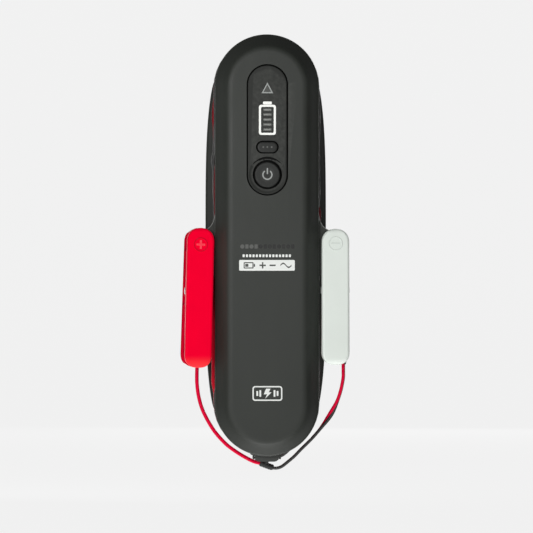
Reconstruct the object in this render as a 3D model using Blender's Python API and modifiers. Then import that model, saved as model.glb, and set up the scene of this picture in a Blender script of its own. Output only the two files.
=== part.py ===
"""Car battery charger: a long rounded handset whose two clamps park on its sides and whose cables wind into a waist.

Frame, in metres: the origin is at the middle of the flat back. +Z is the long axis, with the buttons at the top end.
The front looks towards -Y and +X is to the right of someone facing the front. The numbers below are millimetres.
"""

import math
from typing import NamedTuple

import bmesh
import bpy
from mathutils import Matrix, Vector

MM = 0.001

# ---- driving dimensions shared between sections, mm ----
STRAIGHT = 110.1  # half-length of the straight sides, shared by every full-size racetrack
COVER_REAR_Y = -41.0  # rear edge of the front cover
FRONT_Y = -63.0  # front plateau
COVER_WALL = 2.2
SPOOL_OUT = 26.0  # half-width of the spool wall's outer face
SCREWS = ((-13.0, 126.0), (13.0, 126.0), (-12.5, -127.6), (12.5, -127.6))  # x, z
SCREW_BORE_R = 1.8
PANEL_HW, PANEL_HL, PANEL_Z = 13.6, 44.65, 79.6  # control panel half-width, half-length, centre
PANEL_GAP = 0.6
BUTTON_SEAT_Y = -60.1  # floor of the panel's opening and front of the buttons' flanges
POWER_Z, SET_Z = 48.7, 67.7  # heights of the two buttons
WIRE_R = 1.3  # charging wires and leads
CLAMP_Y = -45.0
KEEPER_Y, KEEPER_Z = -43.2, -147.5  # axis of the cable keeper's pin


class Clamp(NamedTuple):
    """One clamp. Its own frame has its origin on the pivot and Z towards the jaws."""

    name: str
    side: int  # -1 for the left of the handset, 1 for the right
    pivot_x: float
    pivot_z: float
    lean: float  # degrees about Y
    turn: float  # degrees about Z
    half_width: float
    length: float
    lead_x: float  # the lead's place across the rear lever's end

    @property
    def top(self):
        return self.length / 2 - 4.4

    @property
    def bottom(self):
        return -self.length / 2 - 4.4

    @property
    def frame(self):
        """The clamp's frame in metres."""
        return (
            Matrix.Translation(Vector((self.pivot_x, CLAMP_Y, self.pivot_z)) * MM)
            @ Matrix.Rotation(math.radians(self.lean), 4, "Y")
            @ Matrix.Rotation(math.radians(self.turn), 4, "Z")
        )


POSITIVE = Clamp(
    "positive_clamp", side=-1, pivot_x=-47.2, pivot_z=-31.9, lean=1.6, turn=3.0,
    half_width=9.4, length=96.8, lead_x=1.3,
)
NEGATIVE = Clamp(
    "negative_clamp", side=1, pivot_x=47.4, pivot_z=-31.25, lean=0.0, turn=0.0,
    half_width=9.5, length=94.1, lead_x=6.3,
)

# ---- empty scene and collections ----
for old in list(bpy.data.objects):
    bpy.data.objects.remove(old, do_unlink=True)
PARTS = bpy.data.collections.new("car_battery_charger")
CUTTERS = bpy.data.collections.new("cutters")
bpy.context.scene.collection.children.link(PARTS)
bpy.context.scene.collection.children.link(CUTTERS)
CUTTERS.hide_render = True


# ---- materials ----
def material(name, color, roughness, metallic=0.0):
    made = bpy.data.materials.new(name)
    made.use_nodes = True
    shader = made.node_tree.nodes["Principled BSDF"]
    shader.inputs["Base Color"].default_value = (*color, 1)
    shader.inputs["Roughness"].default_value = roughness
    shader.inputs["Metallic"].default_value = metallic
    made.diffuse_color = (*color, 1)
    made.roughness = roughness
    made.metallic = metallic
    return made


CHARCOAL = material("charcoal_plastic", color=(0.045, 0.048, 0.043), roughness=0.55)
DARK = material("dark_grey_plastic", color=(0.03, 0.032, 0.03), roughness=0.6)
PANEL_GREY = material("panel_grey_plastic", color=(0.055, 0.059, 0.053), roughness=0.5)
BLACK_RUBBER = material("black_rubber", color=(0.015, 0.015, 0.015), roughness=0.75)
RED = material("red_plastic", color=(0.82, 0.005, 0.03), roughness=0.35)
WHITE = material("white_plastic", color=(0.75, 0.78, 0.73), roughness=0.4)
RED_WIRE = material("red_wire_jacket", color=(0.5, 0.01, 0.02), roughness=0.5)
BLACK_WIRE = material("black_wire_jacket", color=(0.02, 0.02, 0.02), roughness=0.5)
LENS = material("grey_lens", color=(0.45, 0.46, 0.44), roughness=0.25)
BOARD = material("green_circuit_board", color=(0.02, 0.16, 0.07), roughness=0.45)
FERRITE = material("ferrite", color=(0.05, 0.05, 0.055), roughness=0.5, metallic=0.2)
TAPE = material("yellow_winding_tape", color=(0.75, 0.5, 0.08), roughness=0.5)
COPPER = material("copper", color=(0.75, 0.36, 0.2), roughness=0.35, metallic=1.0)
STEEL = material("zinc_steel", color=(0.6, 0.6, 0.58), roughness=0.35, metallic=1.0)
BRASS = material("nickel_brass", color=(0.7, 0.66, 0.55), roughness=0.25, metallic=1.0)
ALUMINIUM = material("aluminium", color=(0.7, 0.71, 0.72), roughness=0.4, metallic=1.0)
SLEEVE = material("capacitor_sleeve", color=(0.02, 0.03, 0.12), roughness=0.35)
GLASS = material("fuse_glass", color=(0.75, 0.8, 0.78), roughness=0.15)


# ---- shape builders: without a look, a shape is a hidden helper for a boolean ----
def place(obj, look=None):
    if look:
        PARTS.objects.link(obj)
        obj.data.materials.append(look)
    else:
        CUTTERS.objects.link(obj)
        obj.hide_render = True
        obj.display_type = "WIRE"
    return obj


def loft(name, rings, look=None, open_start=False, closed=False):
    """Skins a run of equal-sized rings. It has flat ends, or none if `closed` joins the last ring to the first."""
    count = len(rings[0])
    points = [Vector(p) * MM for ring in rings for p in ring]
    faces = []
    for i in range(len(rings) if closed else len(rings) - 1):
        a, b = i * count, ((i + 1) % len(rings)) * count
        for j in range(count):
            after = (j + 1) % count
            faces.append((a + j, a + after, b + after, b + j))
    if not closed and not open_start:
        faces.append(tuple(range(count)))
    if not closed:
        faces.append(tuple(range(len(points) - count, len(points))))
    data = bpy.data.meshes.new(name)
    data.from_pydata(points, [], faces)
    solid = bmesh.new()
    solid.from_mesh(data)
    bmesh.ops.remove_doubles(solid, verts=solid.verts, dist=1e-7)
    bmesh.ops.recalc_face_normals(solid, faces=solid.faces)
    solid.to_mesh(data)
    solid.free()
    return place(bpy.data.objects.new(name, data), look)


def racetrack(half_width, straight=STRAIGHT, arc=16, side=2):
    """Outline in (x, z): semicircles about z = +-straight, anticlockwise from the right.

    `arc` and `side` are the segment counts of a semicircle and of a straight side.
    """
    angles = [math.pi * i / arc for i in range(arc + 1)]
    cap = [(half_width * math.cos(a), straight + half_width * math.sin(a)) for a in angles]
    steps = [2 * straight * i / side for i in range(1, side)]
    out = cap + [(-half_width, straight - step) for step in steps]
    out += [(-x, -z) for x, z in cap]
    return out + [(half_width, -straight + step) for step in steps]


def at_y(outline, y, center_z=0.0):
    return [(x, y, z + center_z) for x, z in outline]


def track_loft(name, section, look=None, **options):
    """Skins full-size racetracks; the section is a run of (half-width, y)."""
    return loft(name, [at_y(racetrack(hw), y) for hw, y in section], look, **options)


def panel_loft(name, section, look=None):
    """Skins racetracks about the control panel's centre; the section is a run of (half-width, y)."""
    straight = PANEL_HL - PANEL_HW
    rings = [at_y(racetrack(hw, straight, arc=14), y, PANEL_Z) for hw, y in section]
    return loft(name, rings, look)


def prism(name, outline, start, end, axis, look=None):
    """A flat outline pushed along an axis. The outline is (y, z) for X, (x, z) for Y and (x, y) for Z."""
    spread = {
        "X": lambda p, t: (t, p[0], p[1]),
        "Y": lambda p, t: (p[0], t, p[1]),
        "Z": lambda p, t: (p[0], p[1], t),
    }[axis]
    return loft(name, [[spread(p, t) for p in outline] for t in (start, end)], look)


def column(name, radius, center, span, sides, look=None):
    """A many-sided cylinder along Y about center (x, z), from y to y."""
    angles = [2 * math.pi * i / sides for i in range(sides)]
    x, z = center
    outline = [(x + radius * math.cos(a), z + radius * math.sin(a)) for a in angles]
    return prism(name, outline, *span, "Y", look)


def box(name, low, high, look=None, bevel=0.0):
    (x0, y0, z0), (x1, y1, z1) = low, high
    made = prism(name, [(x0, z0), (x1, z0), (x1, z1), (x0, z1)], y0, y1, "Y", look)
    if bevel:
        edge = made.modifiers.new("soft_edges", "BEVEL")
        edge.width = bevel * MM
        edge.segments = 1
        edge.limit_method = "ANGLE"
        edge.angle_limit = math.radians(50)
    return made


def turned(name, profile, at, towards, look=None, steps=20):
    """A turned shape. The profile is (radius, height) from its top down; its top points along `towards`."""
    data = bpy.data.meshes.new(name)
    edges = [(i, i + 1) for i in range(len(profile) - 1)]
    data.from_pydata([(radius * MM, 0, height * MM) for radius, height in profile], edges, [])
    obj = place(bpy.data.objects.new(name, data), look)
    screw = obj.modifiers.new("turned", "SCREW")
    screw.steps = screw.render_steps = steps
    screw.use_merge_vertices = True
    screw.merge_threshold = 0.00001
    screw.use_smooth_shade = True
    obj.rotation_euler = Vector(towards).to_track_quat("Z", "Y").to_euler()
    obj.location = Vector(at) * MM
    return obj


def rod(name, start, end, radius, look=None, steps=16):
    start, end = Vector(start), Vector(end)
    length = (end - start).length
    profile = [(0, length), (radius, length), (radius, 0), (0, 0)]
    return turned(name, profile, start, end - start, look, steps)


def cross_rod(name, reach, y, z, radius, look=None, steps=16):
    """A rod along X, reaching equally far to both sides."""
    return rod(name, (-reach, y, z), (reach, y, z), radius, look, steps)


def wire(name, points, radius, look, resolution):
    """A round wire with closed ends through these points."""
    data = bpy.data.curves.new(name, "CURVE")
    data.dimensions = "3D"
    spline = data.splines.new("POLY")
    spline.points.add(len(points) - 1)
    for knot, point in zip(spline.points, points):
        knot.co = (*(Vector(point) * MM), 1)
    data.bevel_depth = radius * MM
    data.bevel_resolution = resolution
    data.use_fill_caps = True
    data.twist_mode = "MINIMUM"
    return place(bpy.data.objects.new(name, data), look)


def boolean(obj, other, operation):
    step = obj.modifiers.new(operation.lower() + "_" + other.name, "BOOLEAN")
    step.operation = operation
    step.solver = "EXACT"
    step.object = other


def cut(obj, *others):
    for other in others:
        boolean(obj, other, "DIFFERENCE")


def join(obj, *others):
    for other in others:
        boolean(obj, other, "UNION")


def hollow_out(obj):
    wall = obj.modifiers.new("wall", "SOLIDIFY")
    wall.thickness = COVER_WALL * MM
    wall.offset = -1
    wall.use_even_offset = True


def axis_empty(name):
    empty = bpy.data.objects.new(name, None)
    PARTS.objects.link(empty)
    return empty


# ---- front cover: a racetrack shell, its ears for the clamps and its seat for the control panel ----
COVER_HW = 35.6
FRONT_SECTION = (  # inset from COVER_HW, y: the rim wall, then the shoulder
    (0, COVER_REAR_Y), (0, -49.0), (0.7, -50.4), (2.7, -54.0),
    (5.4, -58.4), (7.5, -61.2), (9.6, -62.6), (12.0, FRONT_Y),
)
EAR = (  # distance from the middle, z
    (34.4, 27), (35.5, 24.0), (36.1, 20.5), (37.0, 17.0), (38.5, 14.0), (40.4, 12.0),
    (42.6, 10.6), (46, 9.4), (49.2, 7.2), (50.4, 4), (50.4, -12), (49, -15),
    (46, -16.5), (41, -17.5), (37.5, -20), (34.4, -25),
)
EAR_HALF_THICK = 1.0
LEDGE_HW, LEDGE_Y = 17.5, (-61.2, -58.4)
PANEL_THROUGH_HW = 12.4
KEEPER_LUG_X, KEEPER_LUG_HALF_THICK = 9.2, 0.65


def ear(clamp):
    """The plate under a clamp, turned with it about Z."""
    swing = math.tan(math.radians(clamp.turn))
    outline = [(clamp.side * x, z) for x, z in EAR]
    rings = [
        [(x, CLAMP_Y + offset + (x - clamp.pivot_x) * swing, z) for x, z in outline]
        for offset in (-EAR_HALF_THICK, EAR_HALF_THICK)
    ]
    return loft(f"ear_{clamp.name}", rings)


def keeper_lug(side):
    x = side * KEEPER_LUG_X
    low = (x - KEEPER_LUG_HALF_THICK, -44.6, -148.6)
    return box(f"keeper_lug_{side}", low, (x + KEEPER_LUG_HALF_THICK, -41.6, -142.6))


def front_cover():
    section = [(COVER_HW - inset, y) for inset, y in FRONT_SECTION]
    cover = track_loft("front_cover", section, CHARCOAL, open_start=True)
    hollow_out(cover)
    join(cover, ear(POSITIVE), ear(NEGATIVE))
    join(cover, panel_loft("panel_ledge", [(LEDGE_HW, y) for y in LEDGE_Y]))
    for i, center in enumerate(SCREWS):
        join(cover, column(f"front_boss_{i}", 3.6, center, (-61.6, -43.0), sides=14))
    join(cover, keeper_lug(-1), keeper_lug(1))
    opening_hw = PANEL_HW + PANEL_GAP
    cut(
        cover,
        panel_loft("panel_opening", [(opening_hw, -66), (opening_hw, BUTTON_SEAT_Y)]),
        panel_loft("panel_through", [(PANEL_THROUGH_HW, -66), (PANEL_THROUGH_HW, -50)]),
        cross_rod("keeper_pin_bore", 14, KEEPER_Y, KEEPER_Z, radius=0.9, steps=12),
    )
    for i, center in enumerate(SCREWS):
        cut(cover, column(f"front_screw_bore_{i}", SCREW_BORE_R, center, (-56.0, -40.0), sides=12))


# ---- rear cover: a swollen dish with the mains plug's pocket and the cable's channel in its back ----
REAR_HW = 35.0  # half-width at its ends
REAR_BULGE = 7.1  # how much wider its middle is
REAR_BULGE_Z = 118.0  # where the swelling ends
REAR_FRONT_Y = -17.0
REAR_LIP_GAP = 0.3  # between the front lip and the spool wall
REAR_SECTION = (  # inset from REAR_HW, y
    (1.7, REAR_FRONT_Y), (0, -15.3), (0, -7.0), (0.9, -3.4), (3.2, -0.9), (6.5, 0.0),
)
SCREW_SEAT_Y = -5.0


def bulged(half_width):
    """A racetrack outline whose long sides swell towards the middle."""
    out = []
    for x, z in racetrack(half_width, side=14):
        share = min(1.0, abs(z) / REAR_BULGE_Z)
        swell = REAR_BULGE * (1 - share ** 4) ** 0.75
        out.append((x + math.copysign(swell, x) * min(1.0, abs(x) / 20), z))
    return out


def rear_cover():
    rings = [at_y(racetrack(SPOOL_OUT + REAR_LIP_GAP, side=14), REAR_FRONT_Y)]
    rings += [at_y(bulged(REAR_HW - inset), y) for inset, y in REAR_SECTION]
    cover = loft("rear_cover", rings, CHARCOAL, open_start=True)
    hollow_out(cover)
    join(
        cover,
        box("pocket_outer", (-19.8, -17.6, -118), (19.8, -0.6, -60)),
        box("channel_outer", (-6.3, -11.0, -143.6), (6.3, -0.9, -115.2)),
    )
    for i, center in enumerate(SCREWS):
        join(cover, column(f"rear_boss_{i}", 4.2, center, (-11.0, -0.8), sides=14))
    cut(
        cover,
        box("channel_inner", (-4.5, -20.3, -151.3), (4.5, 3.1, -113.7)),
        box("pocket_inner", (-18.0, -15.6, -116), (18.0, 2, -62)),
    )
    for i, center in enumerate(SCREWS):
        cut(
            cover,
            column(f"rear_screw_bore_{i}", SCREW_BORE_R, center, (-13, -3), sides=12),
            column(f"rear_screw_seat_{i}", 3.1, center, (SCREW_SEAT_Y, 2), sides=14),
        )


# ---- spool frame, seals and case screws ----
SPOOL_IN, SPOOL_FLANGE = 24.0, 32.9  # half-widths
SPOOL_REAR_Y, SPOOL_FRONT_Y = -11.5, -42.6
SPOOL_SECTION = (  # half-width, y
    (SPOOL_IN, SPOOL_REAR_Y), (SPOOL_OUT, SPOOL_REAR_Y), (SPOOL_OUT, COVER_REAR_Y),
    (SPOOL_FLANGE, COVER_REAR_Y), (SPOOL_FLANGE, SPOOL_FRONT_Y), (SPOOL_IN, SPOOL_FRONT_Y),
)
FRONT_SEAL_SECTION = ((30.0, -42.9), (32.7, -42.9), (32.7, -44.1), (30.0, -44.1))
REAR_SEAL_SECTION = ((26.4, -14.5), (26.4, -13.2), (29.0, -13.2), (29.0, -14.5))
CASE_SCREW = (  # radius, height: the head, then the shank and its point
    (0, 2.2), (2.2, 2.2), (2.7, 1.7), (2.7, 0), (1.5, 0), (1.5, -45.5), (0.6, -47.5), (0, -47.5),
)


def spool_frame():
    """The wall that the cables wind on, with a flange inside the front cover."""
    frame = track_loft("spool_frame", SPOOL_SECTION, DARK, closed=True)
    boss_span = (SPOOL_FRONT_Y + 0.1, SPOOL_REAR_Y - 0.1)
    for i, center in enumerate(SCREWS):
        join(frame, column(f"spool_boss_{i}", 4.2, center, boss_span, sides=14))
        cut(frame, column(f"spool_screw_bore_{i}", SCREW_BORE_R, center, (-50, -5), sides=12))


def seals():
    track_loft("front_seal", FRONT_SEAL_SECTION, BLACK_RUBBER, closed=True)
    rear = track_loft("rear_seal", REAR_SEAL_SECTION, BLACK_RUBBER, closed=True)
    cut(rear, box("seal_notch", (-6.7, -20, -150), (6.7, -5, -125)))


def case_screws():
    for i, (x, z) in enumerate(SCREWS, 1):
        at = (x, SCREW_SEAT_Y + 0.2, z)
        turned(f"case_screw_{i}", CASE_SCREW, at, (0, 1, 0), STEEL, steps=14)


# ---- control panel with its buttons and light guides ----
PANEL_SECTION = ((PANEL_HW, -60.4), (PANEL_HW, -62.5), (PANEL_HW - 0.5, FRONT_Y))  # half-width, y
PANEL_CUT_Y = (-66, -55)
POWER_R, POWER_HOLE_R, POWER_FLANGE_R = 8.8, 9.7, 10.9
SET_HW, SET_HH, SET_GAP = 7.0, 3.6, 0.7  # half-width, half-height, gap around it
SET_SECTION = (  # outset from the button's outline, y
    (1.5, -59.2), (1.5, BUTTON_SEAT_Y), (0, BUTTON_SEAT_Y), (0, -62.9), (-0.5, -63.4),
)
TRIANGLE = ((-3.8, 105.0), (3.8, 105.0), (0.0, 112.1))  # x, z of the fault light
TRIANGLE_MIDDLE_Z, TRIANGLE_HOLE_SCALE = 107.4, 1.14
BARS_Z = (79.8, 83.3, 86.7, 90.2, 93.5)
BAR_HW, BAR_HH, BAR_GAP = 2.8, 0.65, 0.3
GUIDE_FRONT_Y, GUIDE_REAR_Y = FRONT_Y - 0.05, -58.6


def set_outline(outset):
    """The set button's lying racetrack in (x, z), made wider all round by `outset`."""
    hw, hh = SET_HW + outset, SET_HH + outset
    return [(z, -x) for x, z in racetrack(hh, hw - hh, arc=8, side=1)]


def set_loft(name, section, look=None):
    return loft(name, [at_y(set_outline(outset), y, SET_Z) for outset, y in section], look)


def bar_box(name, z, gap, span, look=None):
    hw, hh = BAR_HW + gap, BAR_HH + gap
    return box(name, (-hw, span[0], z - hh), (hw, span[1], z + hh), look)


def control_panel():
    panel = panel_loft("control_panel", PANEL_SECTION, PANEL_GREY)
    fault_hole = [
        (x * TRIANGLE_HOLE_SCALE, TRIANGLE_MIDDLE_Z + (z - TRIANGLE_MIDDLE_Z) * TRIANGLE_HOLE_SCALE)
        for x, z in TRIANGLE
    ]
    cut(
        panel,
        column("power_hole", POWER_HOLE_R, (0, POWER_Z), PANEL_CUT_Y, sides=28),
        set_loft("set_hole", [(SET_GAP, y) for y in PANEL_CUT_Y]),
        prism("fault_hole", fault_hole, *PANEL_CUT_Y, "Y"),
    )
    for i, z in enumerate(BARS_Z):
        cut(panel, bar_box(f"bar_hole_{i}", z, BAR_GAP, PANEL_CUT_Y))


def light_guides():
    span = (GUIDE_FRONT_Y, GUIDE_REAR_Y)
    prism("fault_light_guide", TRIANGLE, *span, "Y", LENS)
    for i, z in enumerate(BARS_Z, 1):
        bar_box(f"charge_light_guide_{i}", z, 0, span, LENS)


def buttons():
    power_profile = [
        (0, 3.2), (POWER_R - 1.8, 3.1), (POWER_R - 0.5, 2.8), (POWER_R, 2.2), (POWER_R, 0),
        (POWER_FLANGE_R, 0), (POWER_FLANGE_R, -0.9), (2.0, -0.9), (2.0, -2.6), (0, -2.6),
    ]
    at = (0, BUTTON_SEAT_Y, POWER_Z)
    turned("power_button", power_profile, at, (0, -1, 0), PANEL_GREY, steps=28)
    set_button = set_loft("set_button", SET_SECTION, PANEL_GREY)
    join(set_button, column("set_plunger", 2.0, (0, SET_Z), (-60.0, -57.5), sides=12))


# ---- electronics ----
UI_PARTS_REAR_Y = -53.75  # switches and lights, just inside the front face of their board
FIN_PITCH, FIN_THICK, FIN_COUNT = 5.6, 2, 6
HEATSINK_HW, HEATSINK_BASE_Y, HEATSINK_ROOT_Y, HEATSINK_TIP_Y = 15, -13.2, -17, -33
CAPACITOR = (  # radius, height, with a groove near its foot
    (0, 26), (7.4, 26), (8, 25.3), (8, 2.6), (7.6, 2.0), (8, 1.4), (8, 0), (0, 0),
)
FUSE = (  # radius, height, with a wider cap at each end
    (0, 20), (2.6, 20), (2.6, 15), (2.4, 15), (2.4, 5), (2.6, 5), (2.6, 0), (0, 0),
)


def ui_board():
    box("ui_board", (-12.0, -53.6, 38), (12.0, -52.0, 120), BOARD)
    for which, z in (("power", POWER_Z), ("set", SET_Z)):
        switch = box(f"{which}_switch", (-3, -56.0, z - 3), (3, UI_PARTS_REAR_Y, z + 3), DARK)
        join(switch, column(f"{which}_switch_stem", 1.7, (0, z), (-56.8, -55.5), sides=12))
    box("indicator_leds", (-3.6, -54.9, 77.5), (3.6, UI_PARTS_REAR_Y, 96), WHITE)


def transformer():
    core = box("transformer_core", (-15, -29, -5), (15, -19, 27), FERRITE)
    cut(
        core,
        box("window_left", (-10, -40, 1), (-4, -10, 21)),
        box("window_right", (4, -40, 1), (10, -10, 21)),
    )
    winding = box("transformer_winding", (-9.7, -33.7, 1.4), (9.7, -14.3, 20.6), TAPE)
    cut(winding, box("winding_core_gap", (-4.3, -29.3, -4), (4.3, -18.7, 26)))


def output_inductor():
    bpy.ops.mesh.primitive_torus_add(
        major_segments=20,
        minor_segments=8,
        major_radius=8 * MM,
        minor_radius=4 * MM,
        location=(7 * MM, -17.2 * MM, -30 * MM),
        rotation=(math.pi / 2, 0, 0),
    )
    inductor = bpy.context.object
    inductor.name = "output_inductor"
    for holder in list(inductor.users_collection):
        holder.objects.unlink(inductor)
    place(inductor, COPPER)
    inductor.data.shade_smooth()


def heatsink():
    """A comb in (x, y) whose fins point to the front."""
    comb = []
    for i in range(FIN_COUNT):
        left = -HEATSINK_HW + i * FIN_PITCH
        right = left + FIN_THICK
        comb += [(left, HEATSINK_TIP_Y), (right, HEATSINK_TIP_Y)]
        if i < FIN_COUNT - 1:
            comb += [(right, HEATSINK_ROOT_Y), (left + FIN_PITCH, HEATSINK_ROOT_Y)]
    comb += [(HEATSINK_HW, HEATSINK_BASE_Y), (-HEATSINK_HW, HEATSINK_BASE_Y)]
    prism("heatsink", comb, 84, 108, "Z", ALUMINIUM)


def main_board():
    box("main_board", (-19, -12.6, -54), (19, -11.0, 116), BOARD)
    transformer()
    turned("bulk_capacitor", CAPACITOR, (-8, -21.2, 42), (0, 0, 1), SLEEVE, steps=20)
    turned("mains_fuse", FUSE, (11, -16.2, 44), (0, 0, 1), GLASS, steps=12)
    output_inductor()
    heatsink()


# ---- winding paths. A lap's stretches are BL, L, TL, TR, R, BR: bottom or top, left or right ----
# Degrees from an end's middle, closer together on the end where a lap crosses to the next.
NEAR = (0, 6.5, 13, 21, 36, 53, 71)
FAR = (0, 18, 36, 54, 72)
CROSS_START_X, CROSS_WIDTH = 11, 18


def one_lap(bottom, top, sides):
    """One clockwise lap from the bottom middle, as (stretch, share of it).

    `bottom` and `top` are angles from each end's middle; `sides` are shares of a long side.
    """
    lap = [("BL", angle / 90) for angle in bottom]
    lap += [("L", share) for share in sides]
    lap += [("TL", (90 - angle) / 90) for angle in (90, *top[:0:-1])]
    lap += [("TR", angle / 90) for angle in top]
    lap += [("R", share) for share in sides]
    return lap + [("BR", (90 - angle) / 90) for angle in (90, *bottom[:0:-1])]


def on_track(where, share, side_radius, end_radius):
    """(x, z) and the outward direction for a place on the lap."""
    if where == "L":
        return (-side_radius, -STRAIGHT + 2 * STRAIGHT * share), (-1, 0)
    if where == "R":
        return (side_radius, STRAIGHT - 2 * STRAIGHT * share), (1, 0)
    sine, cosine = math.sin(share * math.pi / 2), math.cos(share * math.pi / 2)
    out_x, out_z = {
        "BL": (-sine, -cosine), "TL": (-cosine, sine), "TR": (sine, cosine), "BR": (cosine, -sine),
    }[where]
    radius = end_radius + (side_radius - end_radius) * out_x ** 2
    center_z = STRAIGHT if where[0] == "T" else -STRAIGHT
    return (radius * out_x, center_z + radius * out_z), (out_x, out_z)


def crossed(x):
    """Eased share of the move to the neighbouring lap's place, as x runs down from CROSS_START_X."""
    share = min(max((CROSS_START_X - x) / CROSS_WIDTH, 0.0), 1.0)
    return share * share * (3 - 2 * share)


# ---- mains cable: wound on the spool, then through the channel to the plug ----
MAINS_R = 2.6
MAINS_LAYER = 29.0  # half-width of the winding's centre line
MAINS_FIRST_Y, MAINS_PITCH = -31.6, 5.7
MAINS_TAIL = (
    (11.5, -20.2, -136.7), (6.5, -20.2, -138.4), (2.9, -19.7, -139.1), (0.8, -17.6, -139.4),
    (0, -13.4, -139.5), (0, -9.7, -138.7), (0, -7.9, -136.2), (0, -7.4, -132.5),
    (0, -7.4, -126), (0, -7.4, -121.4),
)


def mains_winding():
    """About two and a half laps from the top to the bottom. Each moves over while it passes the top."""
    lap = one_lap(FAR, NEAR, (0, 0.5))
    top = lap.index(("TR", 0.0))
    out = []
    for where, share in lap[top + 4:]:  # starts clear of the top's middle
        (x, z), _ = on_track(where, share, MAINS_LAYER, MAINS_LAYER)
        out.append((x, MAINS_FIRST_Y, z))
    for k in range(2):
        for i, (where, share) in enumerate(lap):
            (x, z), _ = on_track(where, share, MAINS_LAYER, MAINS_LAYER)
            places = k + (1 if i >= top else 0)
            if where == "TL":
                places += crossed(-x)
            if where == "TR":
                places -= 1 - crossed(-x)
            out.append((x, MAINS_FIRST_Y + MAINS_PITCH * places, z))
    return out[:-1]  # the tail takes over before the bottom's middle


def mains_cable():
    wire("mains_cable", [*mains_winding(), *MAINS_TAIL], MAINS_R, BLACK_WIRE, resolution=2)
    low, high = (7.0, -34.0, 135.6), (11.4, -29.4, 140.6)
    box("mains_cable_grommet", low, high, BLACK_RUBBER, bevel=0.6)


PLUG_Y, PLUG_Z = -7.4, -98.0
PLUG_OUTLINE = (  # x, z from PLUG_Z
    (-7.5, -16.4), (7.5, -16.4), (14.0, -11.5), (17.0, -5.0),
    (17.0, 16.6), (-17.0, 16.6), (-17.0, -5.0), (-14.0, -11.5),
)
PLUG_LAYERS = ((-6.8, 0.9), (-5.2, 1.0), (5.2, 1.0), (6.8, 0.9))  # y from PLUG_Y, scale
PLUG_PIN_X = 9.5
PLUG_PIN = ((0, 26.3), (1.2, 26.3), (2.0, 25.3), (2.0, 0), (0, 0))  # radius, height


def mains_plug():
    """The plug lies in the rear cover's pocket with its two pins towards the top."""
    rings = [
        [(x * scale, PLUG_Y + depth, PLUG_Z + z * scale) for x, z in PLUG_OUTLINE]
        for depth, scale in PLUG_LAYERS
    ]
    body = loft("plug_body", rings, BLACK_RUBBER)
    neck_start, neck_end = (0, PLUG_Y, PLUG_Z - 22.8), (0, PLUG_Y, PLUG_Z - 12)
    join(body, rod("plug_neck", neck_start, neck_end, radius=3.6, steps=14))
    for i, x in enumerate((-PLUG_PIN_X, PLUG_PIN_X), 1):
        bore_start, bore_end = (x, PLUG_Y, PLUG_Z + 8), (x, PLUG_Y, PLUG_Z + 20)
        cut(body, rod(f"plug_pin_bore_{i}", bore_start, bore_end, radius=2.3, steps=12))
        turned(f"plug_pin_{i}", PLUG_PIN, (x, PLUG_Y, PLUG_Z + 8.4), (0, 0, 1), BRASS, steps=12)


# ---- charging wires: a red and a black one wound side by side ----
WIRE_APART = 1.42  # from the pair's middle to each wire
WIRE_SIDE, WIRE_END = 35.4, 33.9  # track radius at the long sides and at the ends' middles
WIRE_PITCH, WIRE_FIRST_Y, WIRE_LAPS = 6.1, -37.6, 3
WIRE_START_X, WIRE_STOP_X = -12, 17  # where the winding starts and stops along the bottom
TWIST = (0, 0.04, 0.08, 0.12, 0.16, 0.2, 0.47, 0.73)  # shares of a side
TWIST_END = 0.2  # share of a side by which the wires have changed places
TURN_AT_START = {"BL": 180, "L": 180, "TL": 360, "TR": 360, "R": 360, "BR": 540}  # degrees
WIRE_TAIL = ((12.4, -145.2), (8.0, -147.0), (4.0, -147.3), (1.6, -148.0), (0.6, -149.3))  # x, z


def charging_wire_points(sign):
    """The centre line of the red (+1) or the black (-1) wire. Each lap moves over while it passes the bottom."""
    last = WIRE_LAPS - 1
    out = []
    for k in range(WIRE_LAPS):
        for where, share in one_lap(NEAR, FAR, TWIST):
            (x, z), (out_x, out_z) = on_track(where, share, WIRE_SIDE, WIRE_END)
            if k == 0 and where == "BL" and x > WIRE_START_X:
                continue
            if k == last and where == "BR" and x < WIRE_STOP_X:
                continue
            y = WIRE_FIRST_Y + WIRE_PITCH * k
            if where == "BL" and k:
                y -= WIRE_PITCH * (1 - crossed(x))
            if where == "BR" and k < last:
                y += WIRE_PITCH * crossed(x)
            turn = TURN_AT_START[where]
            if where in ("L", "R"):
                turn += 180 * min(1, share / TWIST_END)
            outward = sign * WIRE_APART * math.sin(math.radians(turn))
            y -= sign * WIRE_APART * math.cos(math.radians(turn))
            out.append((x + outward * out_x, y, z + outward * out_z))
    tail_y = WIRE_FIRST_Y + WIRE_PITCH * last + sign * WIRE_APART
    return out + [(x, tail_y, z) for x, z in WIRE_TAIL]


def charging_wires():
    wire("charging_wire_red", charging_wire_points(1), WIRE_R, RED_WIRE, resolution=1)
    wire("charging_wire_black", charging_wire_points(-1), WIRE_R, BLACK_WIRE, resolution=1)
    low, high = (-11.4, -40.6, -145.6), (-6.8, -34.9, -135.6)
    box("charging_wire_grommet", low, high, BLACK_RUBBER, bevel=0.6)
    box("lead_splitter", (-3.9, -29.4, -155.0), (4.7, -20.6, -150.2), BLACK_RUBBER, bevel=1.1)


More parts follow.
